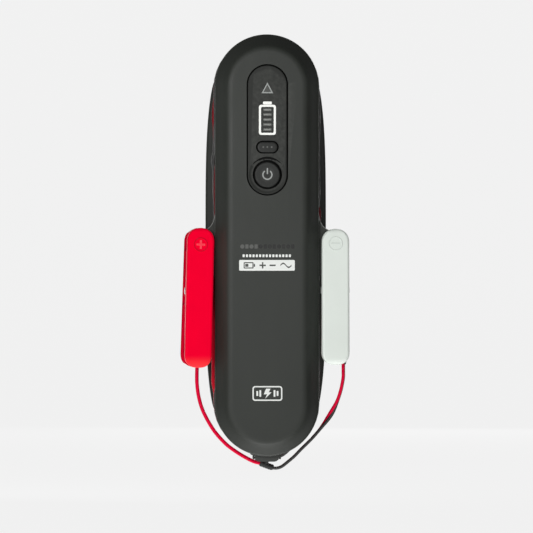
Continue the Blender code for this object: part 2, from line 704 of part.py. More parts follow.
# ---- clamps, in each clamp's own frame ----
HANDLE_SPREAD = math.radians(12.0)
LEVER_SLOPE = 0.084  # the outer faces lean out towards the handle
LEVER_INNER, LEVER_OUTER = 1.3, 12.4  # distances of the faces from the middle plane at the pivot
LEVER_WALL = 1.9
LEVER_TOP_ROUND, LEVER_BOTTOM_ROUND = 2.8, 4.6
REAR_EXTRA = 0.5  # how much wider the rear lever is on each side
END_TURNS = [math.radians(angle) for angle in (14, 34, 56, 78, 90)]
LEVER_MIDDLE_Z = (-22, 0, 20)
MOUTH_Z, MOUTH_R, JAW_MOUTH_R = 32.4, 4.7, 4.2
JAW_NEAR, JAW_FAR, JAW_FOOT_Z, JAW_HW = 1.4, 2.9, 7.0, 5.0
JAW_STEPS, TOOTH_DEPTH = 6, 0.7
LEAD_Y = 15.4
FRONT_LUG = (  # y, z
    (-8.5, -4.2), (0, -4.4), (3.2, -3.2), (4.5, 0), (3.2, 3.2), (0, 4.4), (-8.5, 4.2),
)
REAR_LUG = (  # y, z
    (10.6, -6.0), (0, -4.4), (-3.2, -3.2), (-4.5, 0), (-3.2, 3.2), (0, 4.4), (10.6, 6.0),
)
LEAD_BOOT = (  # radius, height
    (0, 9.4), (1.9, 9.4), (1.9, 0.9), (2.2, 0.7), (2.0, 0.2), (1.5, 0), (0, 0),
)
SPRING_HW, SPRING_R, SPRING_TURNS, SPRING_STEPS = 4.4, 3.5, 3, 10


def lever_faces(z, clamp):
    """(inner, outer) distance of a lever's faces from the clamp's middle plane, at height z."""
    inner = LEVER_INNER + max(0.0, -z - 4) * math.tan(HANDLE_SPREAD)
    outer = LEVER_OUTER - LEVER_SLOPE * z
    rounded_ends = ((clamp.top - z, LEVER_TOP_ROUND), (z - clamp.bottom, LEVER_BOTTOM_ROUND))
    for near, radius in rounded_ends:
        if near < radius:
            reach = (radius - max(near, 0.0)) / radius
            outer -= radius * 0.8 * (1 - math.sqrt(max(0.0, 1 - reach ** 2)))
    return inner, max(outer, inner + 3.2)


def end_curve(half_width, power):
    """(distance from the tip, half-width there) along a lever's rounded end."""
    return [
        (half_width * (1 - math.cos(a) ** power), half_width * math.sin(a) ** power)
        for a in END_TURNS
    ]


def lever_sections(clamp, half_width, face, margin=0.0):
    """Sections of a lever from its handle end to its jaw end. `face` is -1 for the front lever, 1 for the rear.

    With a margin they shape the hollow inside it.
    """
    width = half_width - margin
    low, high = clamp.bottom + margin * 1.6, clamp.top - margin
    stations = [(low + tip, half) for tip, half in end_curve(width, 0.82)]
    stations += [(z, width) for z in LEVER_MIDDLE_Z if low + width < z < high - width]
    stations += [(high - tip, half) for tip, half in reversed(end_curve(width, 0.91))]
    rings = []
    for z, half in stations:
        inner, outer = lever_faces(z, clamp)
        if margin:
            inner -= 4
            outer -= margin
        corner = min(2.8, half * 0.6, (outer - inner) * 0.5)
        section = [
            (-half, inner),
            (-half, outer - corner),
            (-half + 0.3 * corner, outer - 0.3 * corner),
            (-half + corner, outer),
        ]
        section += [(-x, y) for x, y in reversed(section)]
        rings.append([(x, face * y, z) for x, y in section])
    return rings


def mirrored_span(side, near, far):
    """Low and high x of a stretch between two distances on one side."""
    return sorted((side * near, side * far))


def clamp_levers(clamp, look):
    """Both levers with their hollows, pivot lugs and bores."""
    name, half_width, bottom = clamp.name, clamp.half_width, clamp.bottom
    front = loft(f"{name}_front_lever", lever_sections(clamp, half_width, -1), look)
    rear_rings = lever_sections(clamp, half_width + REAR_EXTRA, 1)
    rear = loft(f"{name}_rear_lever", rear_rings, look)
    front_hollow, rear_hollow = [
        loft(f"{name}_hollow_{face}", lever_sections(clamp, half_width, face, LEVER_WALL))
        for face in (-1, 1)
    ]
    mouth = cross_rod(f"{name}_mouth", 15, 0, MOUTH_Z, MOUTH_R)
    pin_bore = cross_rod(f"{name}_pin_bore", 15, 0, 0, radius=1.9, steps=14)
    lead_start, lead_end = [(clamp.lead_x, LEAD_Y, z) for z in (bottom - 6, bottom + 9)]
    lead_bore = rod(f"{name}_lead_bore", lead_start, lead_end, radius=2.25, steps=12)
    made = [front, rear, front_hollow, rear_hollow, mouth, pin_bore, lead_bore]

    cut(front, front_hollow, mouth)
    cut(rear, rear_hollow, mouth)
    for side in (-1, 1):
        span = mirrored_span(side, half_width - LEVER_WALL + 0.05, half_width - 0.05)
        front_lug = prism(f"{name}_front_lug_{side}", FRONT_LUG, *span, "X")
        join(front, front_lug)
        low_x, high_x = mirrored_span(side, half_width - 2.2, half_width + 3)
        relief = box(f"{name}_rear_relief_{side}", (low_x, -3, -9.5), (high_x, 9.6, 9.5))
        cut(rear, relief)
        span = mirrored_span(side, half_width - 4.0, half_width - 2.25)
        rear_lug = prism(f"{name}_rear_lug_{side}", REAR_LUG, *span, "X")
        join(rear, rear_lug)
        made += [front_lug, relief, rear_lug]
    cut(front, pin_bore)
    cut(rear, pin_bore, lead_bore)
    return made


def jaw_outline():
    """(y, z) outline of one toothed jaw plate, on the + side of the clamp's middle plane."""
    low, high = MOUTH_Z - JAW_MOUTH_R, MOUTH_Z + JAW_MOUTH_R
    inner = [(JAW_NEAR, JAW_FOOT_Z), (JAW_NEAR, low)]
    for i in range(1, JAW_STEPS):
        angle = math.pi * i / JAW_STEPS
        radius = JAW_MOUTH_R - (TOOTH_DEPTH if i % 2 else 0.0)
        inner.append((JAW_NEAR + radius * math.sin(angle) * 0.9, MOUTH_Z - radius * math.cos(angle)))
    inner += [(JAW_NEAR, high), (2.0, high + 1.0), (JAW_NEAR, high + 2.0)]
    outer = [
        (JAW_FAR, high + 2.0), (3.4, high), (6.6, MOUTH_Z + 1.5),
        (6.6, MOUTH_Z - 1.5), (3.0, low - 1.5), (JAW_FAR, JAW_FOOT_Z),
    ]
    return inner + outer


def clamp_jaws(clamp):
    return [
        prism(
            f"{clamp.name}_{which}_jaw", [(face * y, z) for y, z in jaw_outline()],
            -JAW_HW, JAW_HW, "X", COPPER,
        )
        for face, which in ((-1, "front"), (1, "rear"))
    ]


def clamp_spring(clamp):
    """A coil about the pivot pin, with a leg into each lever."""
    coil = [(-SPRING_HW, -5.0, -15.0), (-SPRING_HW, -4.0, -8.0)]
    steps = SPRING_TURNS * SPRING_STEPS
    for i in range(steps + 1):
        angle = math.pi + 2 * math.pi * i / SPRING_STEPS
        x = -SPRING_HW + 2 * SPRING_HW * i / steps
        coil.append((x, SPRING_R * math.cos(angle), -SPRING_R * math.sin(angle)))
    coil += [(SPRING_HW, -1.5, -4.6), (SPRING_HW, 6.0, -8.0), (SPRING_HW, 8.9, -15.0)]
    return wire(f"{clamp.name}_spring", coil, 0.55, STEEL, resolution=0)


def build_clamp(clamp, look):
    name = clamp.name
    frame = clamp.frame
    pivot = axis_empty(f"{name}_pivot_axis")
    pivot.matrix_world = frame
    made = clamp_levers(clamp, look) + clamp_jaws(clamp)
    made.append(cross_rod(f"{name}_pivot_pin", clamp.half_width + 0.3, 0, 0, 1.6, STEEL, steps=14))
    made.append(clamp_spring(clamp))
    boot_at = (clamp.lead_x, LEAD_Y, clamp.bottom - 1.0)
    made.append(turned(f"{name}_lead_boot", LEAD_BOOT, boot_at, (0, 0, 1), BLACK_RUBBER, steps=12))
    for obj in made:
        obj.matrix_world = frame @ obj.matrix_basis
    bpy.context.view_layer.update()
    for obj in made:
        world = obj.matrix_world.copy()
        obj.parent = pivot
        obj.matrix_parent_inverse = frame.inverted()
        obj.matrix_world = world


# ---- leads from the splitter to the clamps ----
POSITIVE_PATH = (
    (-4.2, -25.0, -152.4), (-7.5, -25.0, -151.6), (-21.5, -26.2, -144.4),
    (-34.8, -27.6, -130.4), (-45.4, -29.0, -106.8),
)
NEGATIVE_PATH = (
    (5.0, -25.0, -153.4), (8.0, -25.0, -153.2), (15.8, -25.6, -149.8),
    (28.0, -26.6, -138.4), (39.6, -27.8, -123.8), (48.0, -29.0, -109.8),
)


def smooth_path(points, steps=4):
    """A Catmull-Rom curve through the points."""
    knots = [Vector(p) for p in points]
    knots = [knots[0] * 2 - knots[1], *knots, knots[-1] * 2 - knots[-2]]
    out = []
    for before, start, end, after in zip(knots, knots[1:], knots[2:], knots[3:]):
        for j in range(steps):
            t = j / steps
            linear = (end - before) * t
            square = (2 * before - 5 * start + 4 * end - after) * t * t
            cube = (3 * start - before - 3 * end + after) * t ** 3
            out.append(0.5 * (2 * start + linear + square + cube))
    return out + [knots[-2]]


def lead(name, path, clamp, look):
    """A lead along the path, then straight into the clamp's boot."""
    ends = [
        (clamp.frame @ (Vector((clamp.lead_x, LEAD_Y, clamp.bottom - 1.0 - below)) * MM)) / MM
        for below in (6.0, 0.4)
    ]
    wire(name, smooth_path([*path, *ends]), WIRE_R, look, resolution=1)


# ---- cable keeper: a rubber flap on a pin, over the mouth of the cable groove ----
KEEPER_OUT, KEEPER_IN = 39.2, 38.2  # radii about the bottom end's centre
KEEPER_SWEEP = 11.8  # degrees to each side
KEEPER_FLAP_Y = (-43.0, -30.4)
KEEPER_BARREL_HW, KEEPER_PIN_HW = 8.2, 9.9


def cable_keeper():
    arc = [math.radians(270 + KEEPER_SWEEP * i / 4) for i in range(-4, 5)]
    outline = [
        (radius * math.cos(a), -STRAIGHT + radius * math.sin(a))
        for radius, angles in ((KEEPER_OUT, arc), (KEEPER_IN, arc[::-1]))
        for a in angles
    ]
    axis = axis_empty("keeper_axis")
    axis.location = Vector((0, KEEPER_Y, KEEPER_Z)) * MM
    keeper = prism("cable_keeper", outline, *KEEPER_FLAP_Y, "Y", BLACK_RUBBER)
    center = (KEEPER_Y, KEEPER_Z)
    join(keeper, cross_rod("keeper_barrel", KEEPER_BARREL_HW, *center, radius=1.35, steps=12))
    cut(keeper, cross_rod("keeper_bore", 14, *center, radius=0.85, steps=12))
    keeper.parent = axis
    keeper.matrix_parent_inverse = Matrix.Translation(axis.location).inverted()
    cross_rod("keeper_pin", KEEPER_PIN_HW, *center, radius=0.55, look=STEEL, steps=10)


front_cover()
rear_cover()
spool_frame()
seals()
case_screws()
control_panel()
light_guides()
buttons()
ui_board()
main_board()
mains_cable()
mains_plug()
charging_wires()
build_clamp(POSITIVE, RED)
build_clamp(NEGATIVE, WHITE)
lead("positive_lead", POSITIVE_PATH, POSITIVE, RED_WIRE)
lead("negative_lead", NEGATIVE_PATH, NEGATIVE, BLACK_WIRE)
cable_keeper()
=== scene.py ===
from math import copysign, cos, hypot, pi, radians, sin, sqrt, tan
from types import SimpleNamespace

import bmesh
import bpy
from mathutils import Matrix, Vector, noise


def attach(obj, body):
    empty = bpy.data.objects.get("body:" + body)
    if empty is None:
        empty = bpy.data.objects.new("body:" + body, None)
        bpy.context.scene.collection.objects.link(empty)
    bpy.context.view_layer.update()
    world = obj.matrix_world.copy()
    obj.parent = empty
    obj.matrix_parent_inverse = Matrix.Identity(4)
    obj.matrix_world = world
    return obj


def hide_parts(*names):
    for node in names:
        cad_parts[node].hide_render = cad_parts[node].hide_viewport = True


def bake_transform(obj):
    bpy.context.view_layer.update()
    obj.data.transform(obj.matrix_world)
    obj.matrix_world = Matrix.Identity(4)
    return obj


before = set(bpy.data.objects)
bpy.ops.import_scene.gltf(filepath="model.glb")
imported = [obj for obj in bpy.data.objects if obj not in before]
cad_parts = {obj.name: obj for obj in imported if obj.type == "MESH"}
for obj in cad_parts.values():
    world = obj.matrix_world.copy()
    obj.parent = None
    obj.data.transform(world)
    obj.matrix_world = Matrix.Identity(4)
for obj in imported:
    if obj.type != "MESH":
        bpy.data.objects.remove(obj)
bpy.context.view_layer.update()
MM = 0.001

# ------------------------------------------------------------------ driving sizes
STRAIGHT = 110.1  # from the middle to the centre of either round end
COVER_HALF_W, COVER_REAR_Y, FRONT_Y, WALL = 35.6, -41.0, -63.0, 2.2
REAR_HALF_W, REAR_FRONT_Y, REAR_WALL = 35.0, -17.0, 1.9
REAR_BULGE, REAR_BULGE_Z = 7.1, 118.0  # how far the rear sides swell, and up to what height
SPOOL_OUT = 26.0
PANEL_HALF_W, PANEL_HALF_H, PANEL_Z, PANEL_GAP = 13.5, 44.55, 79.6, 0.85
PANEL_STRAIGHT = PANEL_HALF_H - PANEL_HALF_W
POWER_Z, POWER_R, POWER_HOLE_R = 48.7, 8.75, 10.15
SET_Z, SET_HALF_W, SET_HALF_H, SET_GAP = 67.7, 7.0, 3.6, 0.85
BARS_Z = (79.8, 83.3, 86.7, 90.2, 93.5)
KEEPER_Y, KEEPER_Z, KEEPER_HALF_W = -43.2, -147.5, 8.2
PLUG_Y, PLUG_Z = -7.4, -98.0
SCREWS = ((-13.0, 126.0), (13.0, 126.0), (-12.5, -127.6), (12.5, -127.6))  # x, z
JOINT_Y = -25.0  # the joint where the pair parts into two leads

# lean and turn are in degrees; rear_extra widens the rear lever on either side
CLAMPS = {
    "positive_clamp": SimpleNamespace(
        x=-47.2, z=-31.9, lean=1.6, turn=3.0, half_w=9.4, length=96.8, lead_x=1.3, rear_extra=0.4
    ),
    "negative_clamp": SimpleNamespace(
        x=47.4, z=-31.25, lean=0.0, turn=0.0, half_w=9.5, length=94.1, lead_x=6.3, rear_extra=-0.3
    ),
}
CLAMP_Y = -45.0
PIVOT_RISE = 4.4  # the pivot sits this far above the middle of the clamp
for clamp in CLAMPS.values():
    clamp.top = clamp.length / 2 - PIVOT_RISE
    clamp.bottom = -clamp.length / 2 - PIVOT_RISE
CLAMP_AT_SIDE = {-1: "positive_clamp", 1: "negative_clamp"}


def ease(share):
    share = min(max(share, 0.0), 1.0)
    return share * share * (3 - 2 * share)


# ------------------------------------------------------------------ node graphs
class Graph:
    """A node tree with its coordinates and the shader it feeds."""

    def __init__(self, owner, shader="Principled BSDF", coords="Object"):
        owner.use_nodes = True
        self.owner, self.tree = owner, owner.node_tree
        self.shader = self.tree.nodes[shader]
        self.coords = self.node("ShaderNodeTexCoord").outputs[coords]

    def plug(self, value, socket):
        """Links a socket, or sets a plain value."""
        if isinstance(value, bpy.types.NodeSocket):
            self.tree.links.new(value, socket)
        elif socket.type == "RGBA":
            socket.default_value = (*value, 1)
        else:
            socket.default_value = value

    def node(self, kind, sockets=(), **settings):
        node = self.tree.nodes.new(kind)
        for key, value in settings.items():
            setattr(node, key, value)
        for key, value in dict(sockets).items():
            self.plug(value, node.inputs[key])
        return node

    def feed(self, socket, value):
        self.plug(value, self.shader.inputs[socket])

    def noise(self, scale, detail=4, rough=0.55, vector=None, distortion=0.0):
        sockets = {"Scale": scale, "Detail": detail, "Roughness": rough}
        sockets |= {"Distortion": distortion, "Vector": vector or self.coords}
        return self.node("ShaderNodeTexNoise", sockets).outputs["Fac"]

    def mapped(self, socket, value):
        sockets = {socket: value, "Vector": self.coords}
        return self.node("ShaderNodeMapping", sockets).outputs["Vector"]

    def height(self):
        return self.node("ShaderNodeSeparateXYZ", {0: self.coords}).outputs["Z"]

    def spread(self, source, between=(0.3, 0.7), to=(0.0, 1.0), eased=False):
        limits = zip(("From Min", "From Max", "To Min", "To Max"), (*between, *to))
        kind = "SMOOTHSTEP" if eased else "LINEAR"
        sockets = dict(limits, Value=source)
        return self.node("ShaderNodeMapRange", sockets, interpolation_type=kind).outputs["Result"]

    def mix(self, share, first, second):
        sockets = {0: share, 6: first, 7: second}  # 6 and 7 are the colour sockets
        return self.node("ShaderNodeMix", sockets, data_type="RGBA").outputs[2]

    def math(self, operation, first, second):
        return self.node("ShaderNodeMath", {0: first, 1: second}, operation=operation).outputs[0]

    def bump(self, height, strength, distance, before=None):
        sockets = {"Strength": strength, "Distance": distance, "Height": height}
        if before is not None:
            sockets["Normal"] = before
        return self.node("ShaderNodeBump", sockets).outputs["Normal"]

    def edges(self):
        geometry = self.node("ShaderNodeNewGeometry")
        return self.spread(geometry.outputs["Pointiness"], between=(0.52, 0.6))


def new_graph(name):
    return Graph(bpy.data.materials.new(name))


def toned(colour, scale, lift=0.0):
    return tuple(min(1.0, channel * scale + lift) for channel in colour)


LIGHT_SOCKETS = {
    "spec": "Specular IOR Level",
    "tint": "Specular Tint",
    "glow": "Emission Color",
    "glow_strength": "Emission Strength",
}


def light_response(graph, options):
    for option, value in options.items():
        graph.feed(LIGHT_SOCKETS[option], value)


# ------------------------------------------------------------------ kinds of material
# rough: roughness; vary: how far the tone wanders; depth: height of the grain in metres
def plastic(name, base, rough=0.5, grain=2600, depth=0.00004, strength=0.5, vary=0.18,
            wear=0.35, worn=None, **light):
    """Moulded plastic: etched grain, faint flow marks, patches of sheen and paler edges."""
    graph = new_graph(name)
    cloud = graph.noise(38, detail=5, rough=0.6)
    upright = graph.mapped("Scale", (1.0, 1.0, 0.18))
    flow = graph.noise(55, detail=3, rough=0.5, vector=upright, distortion=0.6)
    pale = toned(base, 1 + vary)
    colour = graph.mix(graph.spread(cloud), toned(base, 1 - vary), pale)
    fine = graph.noise(grain * 0.7, detail=2, rough=0.5)
    colour = graph.mix(graph.spread(fine, between=(0.45, 0.75), to=(0.0, 0.35)), colour, pale)
    edges = graph.edges()
    patches = graph.noise(320, detail=4, rough=0.7)
    patches = graph.spread(patches, between=(0.35, 0.7), to=(0.2 * wear, wear))
    rubbed = graph.math("MULTIPLY", edges, patches)
    graph.feed("Base Color", graph.mix(rubbed, colour, worn or toned(base, 1.9, lift=0.02)))
    sheen = graph.spread(cloud, between=(0.25, 0.75), to=(rough - 0.07, rough + 0.06))
    graph.feed("Roughness", graph.math("ADD", sheen, graph.spread(flow, to=(-0.03, 0.03))))
    normal = graph.bump(graph.noise(grain, detail=3, rough=0.6), strength, depth)
    graph.feed("Normal", graph.bump(flow, strength=0.25, distance=0.00012, before=normal))
    graph.feed("Coat Roughness", 0.2)
    light_response(graph, light)
    return graph.owner


def rubber(name, base, rough=0.6, vary=0.2, dust=0.05, sheen=0.1, **light):
    graph = new_graph(name)
    cloud = graph.noise(90, detail=5, rough=0.65)
    patches = graph.spread(cloud, between=(0.3, 0.72))
    colour = graph.mix(patches, toned(base, 1 - vary), toned(base, 1 + vary))
    scuff = graph.noise(520, detail=6, rough=0.75)
    scuff = graph.spread(scuff, between=(0.58, 0.75), to=(0.0, dust * 3))
    graph.feed("Base Color", graph.mix(scuff, colour, toned(base, 1.6, lift=0.05)))
    graph.feed("Roughness", graph.spread(cloud, to=(rough - 0.08, rough + 0.08)))
    grain = graph.noise(1900, detail=3, rough=0.6)
    graph.feed("Normal", graph.bump(grain, strength=0.35, distance=0.00005))
    graph.feed("Sheen Weight", sheen)
    graph.feed("Sheen Roughness", 0.4)
    light_response(graph, light)
    return graph.owner


def metal(name, base, rough=0.3, brush=(1.0, 1.0, 12.0), stain=None, stained=0.3):
    """Brushed metal; brush stretches the lines, stain and stained set the dull patches."""
    graph = new_graph(name)
    lines = graph.noise(900, detail=4, rough=0.6, vector=graph.mapped("Scale", brush))
    cloud = graph.noise(160, detail=5, rough=0.65)
    colour = graph.mix(graph.spread(lines), toned(base, 0.86), toned(base, 1.08))
    dull = graph.spread(cloud, between=(0.5, 0.72), to=(0.0, stained))
    colour = graph.mix(dull, colour, stain or toned(base, 0.55))
    colour = graph.mix(graph.math("MULTIPLY", graph.edges(), 0.5), colour, toned(base, 1.2))
    graph.feed("Base Color", colour)
    graph.feed("Metallic", 1.0)
    along = graph.spread(lines, to=(rough - 0.06, rough + 0.08))
    patches = graph.spread(cloud, between=(0.45, 0.75), to=(0.0, 0.15))
    graph.feed("Roughness", graph.math("ADD", along, patches))
    graph.feed("Normal", graph.bump(lines, strength=0.3, distance=0.00004))
    return graph.owner


def ink(name, base, rough=0.45, wear=0.25):
    """Printed ink: slightly uneven cover over a fine grain."""
    graph = new_graph(name)
    gaps = graph.noise(1500, detail=4, rough=0.7)
    gaps = graph.spread(gaps, between=(0.55, 0.75), to=(0.0, wear))
    colour = graph.mix(gaps, base, toned(base, 0.72))
    cloud = graph.spread(graph.noise(70, detail=3), to=(0.0, 0.1))
    graph.feed("Base Color", graph.mix(cloud, colour, toned(base, 0.8)))
    patches = graph.noise(400, detail=3)
    graph.feed("Roughness", graph.spread(patches, to=(rough - 0.05, rough + 0.08)))
    grain = graph.noise(2600, detail=2)
    graph.feed("Normal", graph.bump(grain, strength=0.3, distance=0.00003))
    return graph.owner


def board(name):
    """Green circuit board: brick-like tracks and round pads."""
    graph = new_graph(name)
    brick = graph.node("ShaderNodeTexBrick", {
        "Scale": 260,
        "Mortar Size": 0.03,
        "Color1": (0.02, 0.16, 0.07),
        "Color2": (0.015, 0.12, 0.055),
        "Mortar": (0.05, 0.3, 0.13),
        "Vector": graph.mapped("Rotation", (pi / 2, 0, 0)),
    })
    dots = graph.node("ShaderNodeTexVoronoi", {"Scale": 420, "Vector": graph.coords})
    pads = graph.spread(dots.outputs["Distance"], between=(0.16, 0.2), to=(1.0, 0.0))
    graph.feed("Base Color", graph.mix(pads, brick.outputs["Color"], (0.6, 0.58, 0.5)))
    graph.feed("Roughness", graph.spread(graph.noise(300), to=(0.3, 0.5)))
    graph.feed("Normal", graph.bump(brick.outputs["Fac"], strength=0.3, distance=0.00004))
    return graph.owner


def lens(name, base, rough=0.3):
    graph = new_graph(name)
    cloud = graph.spread(graph.noise(500, detail=3))
    graph.feed("Base Color", graph.mix(cloud, toned(base, 0.85), base))
    patches = graph.noise(800, detail=3)
    graph.feed("Roughness", graph.spread(patches, to=(rough - 0.05, rough + 0.1)))
    grain = graph.noise(2400, detail=2)
    graph.feed("Normal", graph.bump(grain, strength=0.2, distance=0.00003))
    graph.feed("Subsurface Weight", 0.15)
    graph.feed("Subsurface Radius", (0.001, 0.001, 0.001))
    return graph.owner


def painted_foot_highlight(material, base, foot, between):
    """Painted highlight: eases the emission from the foot colour to the base colour between two
    heights.
    """
    graph = Graph(material)
    low, high = between
    mask = graph.spread(graph.height(), (low * MM, high * MM), (1.0, 0.0), eased=True)
    graph.feed("Emission Color", graph.mix(mask, base, foot))


def painted_shade_bands(material, low, high, painted_tones, low_glow):
    """Painted shade and light: scales the colour by three tones that meet in the low and high
    stretches of height, and adds a painted glow that fades out across the low stretch.
    """
    graph = Graph(material)
    source = graph.shader.inputs["Base Color"].links[0].from_socket
    height = graph.height()
    low, high = [[z * MM for z in stretch] for stretch in (low, high)]
    first = graph.spread(height, low, painted_tones[:2], eased=True)
    second = graph.spread(height, high, (1.0, painted_tones[2] / painted_tones[1]), eased=True)
    tone = graph.math("MULTIPLY", first, second)
    scaled = graph.node("ShaderNodeVectorMath", {0: source, "Scale": tone}, operation="SCALE")
    graph.feed("Base Color", scaled.outputs["Vector"])
    graph.feed("Emission Strength", graph.spread(height, low, (low_glow, 0.0), eased=True))


# ------------------------------------------------------------------ materials
CHARCOAL = plastic(
    "charcoal_plastic", (0.0235, 0.0265, 0.0225), rough=0.55, grain=2300, depth=0.00005,
    vary=0.1, worn=(0.085, 0.088, 0.08), spec=0.36)
CHARCOAL_REAR = plastic(
    "charcoal_plastic_rear", (0.020, 0.0225, 0.019), rough=0.6, grain=1900, depth=0.00007,
    strength=0.55, vary=0.14, worn=(0.08, 0.083, 0.075), spec=0.36)
PANEL = plastic(
    "panel_grey_plastic", (0.0135, 0.0150, 0.0128), rough=0.58, grain=3200, depth=0.00003,
    strength=0.4, vary=0.08, worn=(0.085, 0.088, 0.08), spec=0.3)
BUTTON = plastic(
    "button_plastic", (0.0095, 0.0108, 0.0092), rough=0.55, grain=3400, depth=0.00003,
    strength=0.35, vary=0.08, worn=(0.09, 0.09, 0.085), spec=0.36)
DARK = plastic("dark_grey_plastic", (0.022, 0.024, 0.022), rough=0.6)
# painted shadow: near black for gaps, rims and flanges that lie in shade
PAINTED_SHADOW = plastic(
    "shadow_gap", (0.0035, 0.0037, 0.0035), rough=0.75, worn=(0.012, 0.012, 0.012), spec=0.12)
# painted highlight: pale grey for the beads along the cover's rim and the ears' edges, standing in
# for the light caught on those edges
RIM_HIGHLIGHT = plastic(
    "rim_bead", (0.15, 0.155, 0.145), rough=0.34, depth=0.00003, strength=0.3, vary=0.1,
    wear=0.5, worn=(0.16, 0.165, 0.15), spec=0.6)
GLOSS = plastic(
    "gloss_charcoal", (0.010, 0.011, 0.010), rough=0.22, depth=0.00001, strength=0.2,
    vary=0.1, wear=0.2, worn=(0.05, 0.05, 0.048), spec=0.4)
TAPE = plastic("yellow_winding_tape", (0.75, 0.48, 0.07), rough=0.42, grain=600, depth=0.0001)
SLEEVE = plastic("capacitor_sleeve", (0.02, 0.028, 0.11), rough=0.32)

# the clamps' plastics share one grain
CLAMP_GRAIN = dict(grain=2200, depth=0.00003, strength=0.3)
RED_TINT = (1.0, 0.0, 0.03)
# painted light: the red plastic glows faintly all over, and the call below paints a lighter, more
# orange highlight on the foot
RED = plastic(
    "red_plastic", (0.84, 0.0006, 0.026), rough=0.42, vary=0.04, wear=0.4,
    worn=(0.95, 0.05, 0.07), spec=0.16, tint=RED_TINT, glow=RED_TINT, glow_strength=1.0,
    **CLAMP_GRAIN)
painted_foot_highlight(RED, base=(0.055, 0.0, 0.0018), foot=(0.15, 0.044, 0.024), between=(-84.0, -75.5))
# painted shade: a darker copy of the red plastic, without sheen or glow, for the rear lever
RED_REAR_SHADED = plastic(
    "red_plastic_rear_painted_shade", (0.52, 0.0006, 0.018), rough=0.5, vary=0.04, wear=0.3,
    worn=(0.6, 0.01, 0.03), spec=0.0, tint=RED_TINT, **CLAMP_GRAIN)
RED_DEEP = plastic(
    "red_mark_ring", (0.60, 0.002, 0.018), rough=0.42, vary=0.06, wear=0.4,
    worn=(0.8, 0.05, 0.08), spec=0.3, tint=RED_TINT, **CLAMP_GRAIN)
RED_PALE = plastic(
    "red_mark_sign", (0.93, 0.045, 0.075), rough=0.35, vary=0.06, wear=0.4,
    worn=(0.95, 0.3, 0.32), spec=0.3, tint=(1.0, 0.2, 0.2), **CLAMP_GRAIN)
# painted light: the white plastic glows faintly
WHITE = plastic(
    "white_plastic", (0.655, 0.70, 0.655), rough=0.42, vary=0.03, wear=0.3,
    worn=(0.84, 0.86, 0.82), spec=0.4, glow=(0.92, 1.0, 0.93), glow_strength=0.08,
    **CLAMP_GRAIN)
WHITE_MARK = plastic(
    "white_mark", (0.66, 0.71, 0.665), rough=0.45, vary=0.03, wear=0.3,
    worn=(0.8, 0.82, 0.78), spec=0.4, **CLAMP_GRAIN)

RUBBER = rubber("black_rubber", (0.02, 0.021, 0.02), rough=0.66)
KEEPER = rubber("keeper_rubber", (0.034, 0.037, 0.033))
FERRITE = rubber("ferrite", (0.05, 0.05, 0.056), rough=0.5)
# painted shade: a darker copy of the red jacket for the wound pair; the bands below darken its
# middle further and light its lower part with a painted glow
RED_PAIR_SHADED = rubber(
    "red_pair_jacket_painted_shade", (0.34, 0.004, 0.012), rough=0.48, vary=0.12, dust=0.02, sheen=0.0,
    spec=0.25, tint=(1.0, 0.35, 0.4), glow=(1.0, 0.0, 0.04))
painted_shade_bands(RED_PAIR_SHADED, low=(-58, -34), high=(66, 84), painted_tones=(1.15, 0.32, 0.5), low_glow=0.07)
# painted light: the red lead glows faintly
RED_LEAD = rubber(
    "red_lead_jacket", (0.62, 0.002, 0.035), rough=0.36, vary=0.08, dust=0.01, sheen=0.0,
    tint=(1, 0.1, 0.15), glow=(1.0, 0.0, 0.045), glow_strength=0.07)
BLACK_JACKET = rubber("black_wire_jacket", (0.028, 0.028, 0.027), rough=0.45)
MAINS_JACKET = rubber("mains_jacket", (0.022, 0.022, 0.023), rough=0.5)

COPPER = metal("copper", (0.80, 0.42, 0.27), brush=(14, 1, 1), stain=(0.36, 0.2, 0.12),
               stained=0.5)
WIRE_COPPER = metal("enamelled_copper", (0.72, 0.3, 0.14), brush=(1, 30, 1))
STEEL = metal("zinc_steel", (0.62, 0.62, 0.6), rough=0.32, brush=(1, 1, 10))
NICKEL = metal("nickel_brass", (0.74, 0.7, 0.6), rough=0.22, brush=(1, 1, 14))
ALUMINIUM = metal("aluminium", (0.74, 0.75, 0.76), rough=0.36, brush=(1, 1, 16))

GREEN = board("green_circuit_board")
GLASS = lens("fuse_glass", (0.72, 0.78, 0.75), rough=0.15)
LENS = lens("grey_lens", (0.23, 0.235, 0.22), rough=0.35)
SMOKED = lens("smoked_lens", (0.052, 0.056, 0.05), rough=0.35)
INK_WHITE = ink("white_ink", (0.78, 0.80, 0.77))
INK_BRIGHT = ink("bright_ink", (0.93, 0.94, 0.9), rough=0.4, wear=0.1)
INK_GREY = ink("grey_ink", (0.30, 0.315, 0.305))
INK_DIM = ink("dim_ink", (0.075, 0.078, 0.072))
INK_DARK = ink("dark_ink", (0.05, 0.054, 0.048))


# ------------------------------------------------------------------ mesh helpers
def new_object(name, data):
    obj = bpy.data.objects.new(name, data)
    bpy.context.scene.collection.objects.link(obj)
    return obj


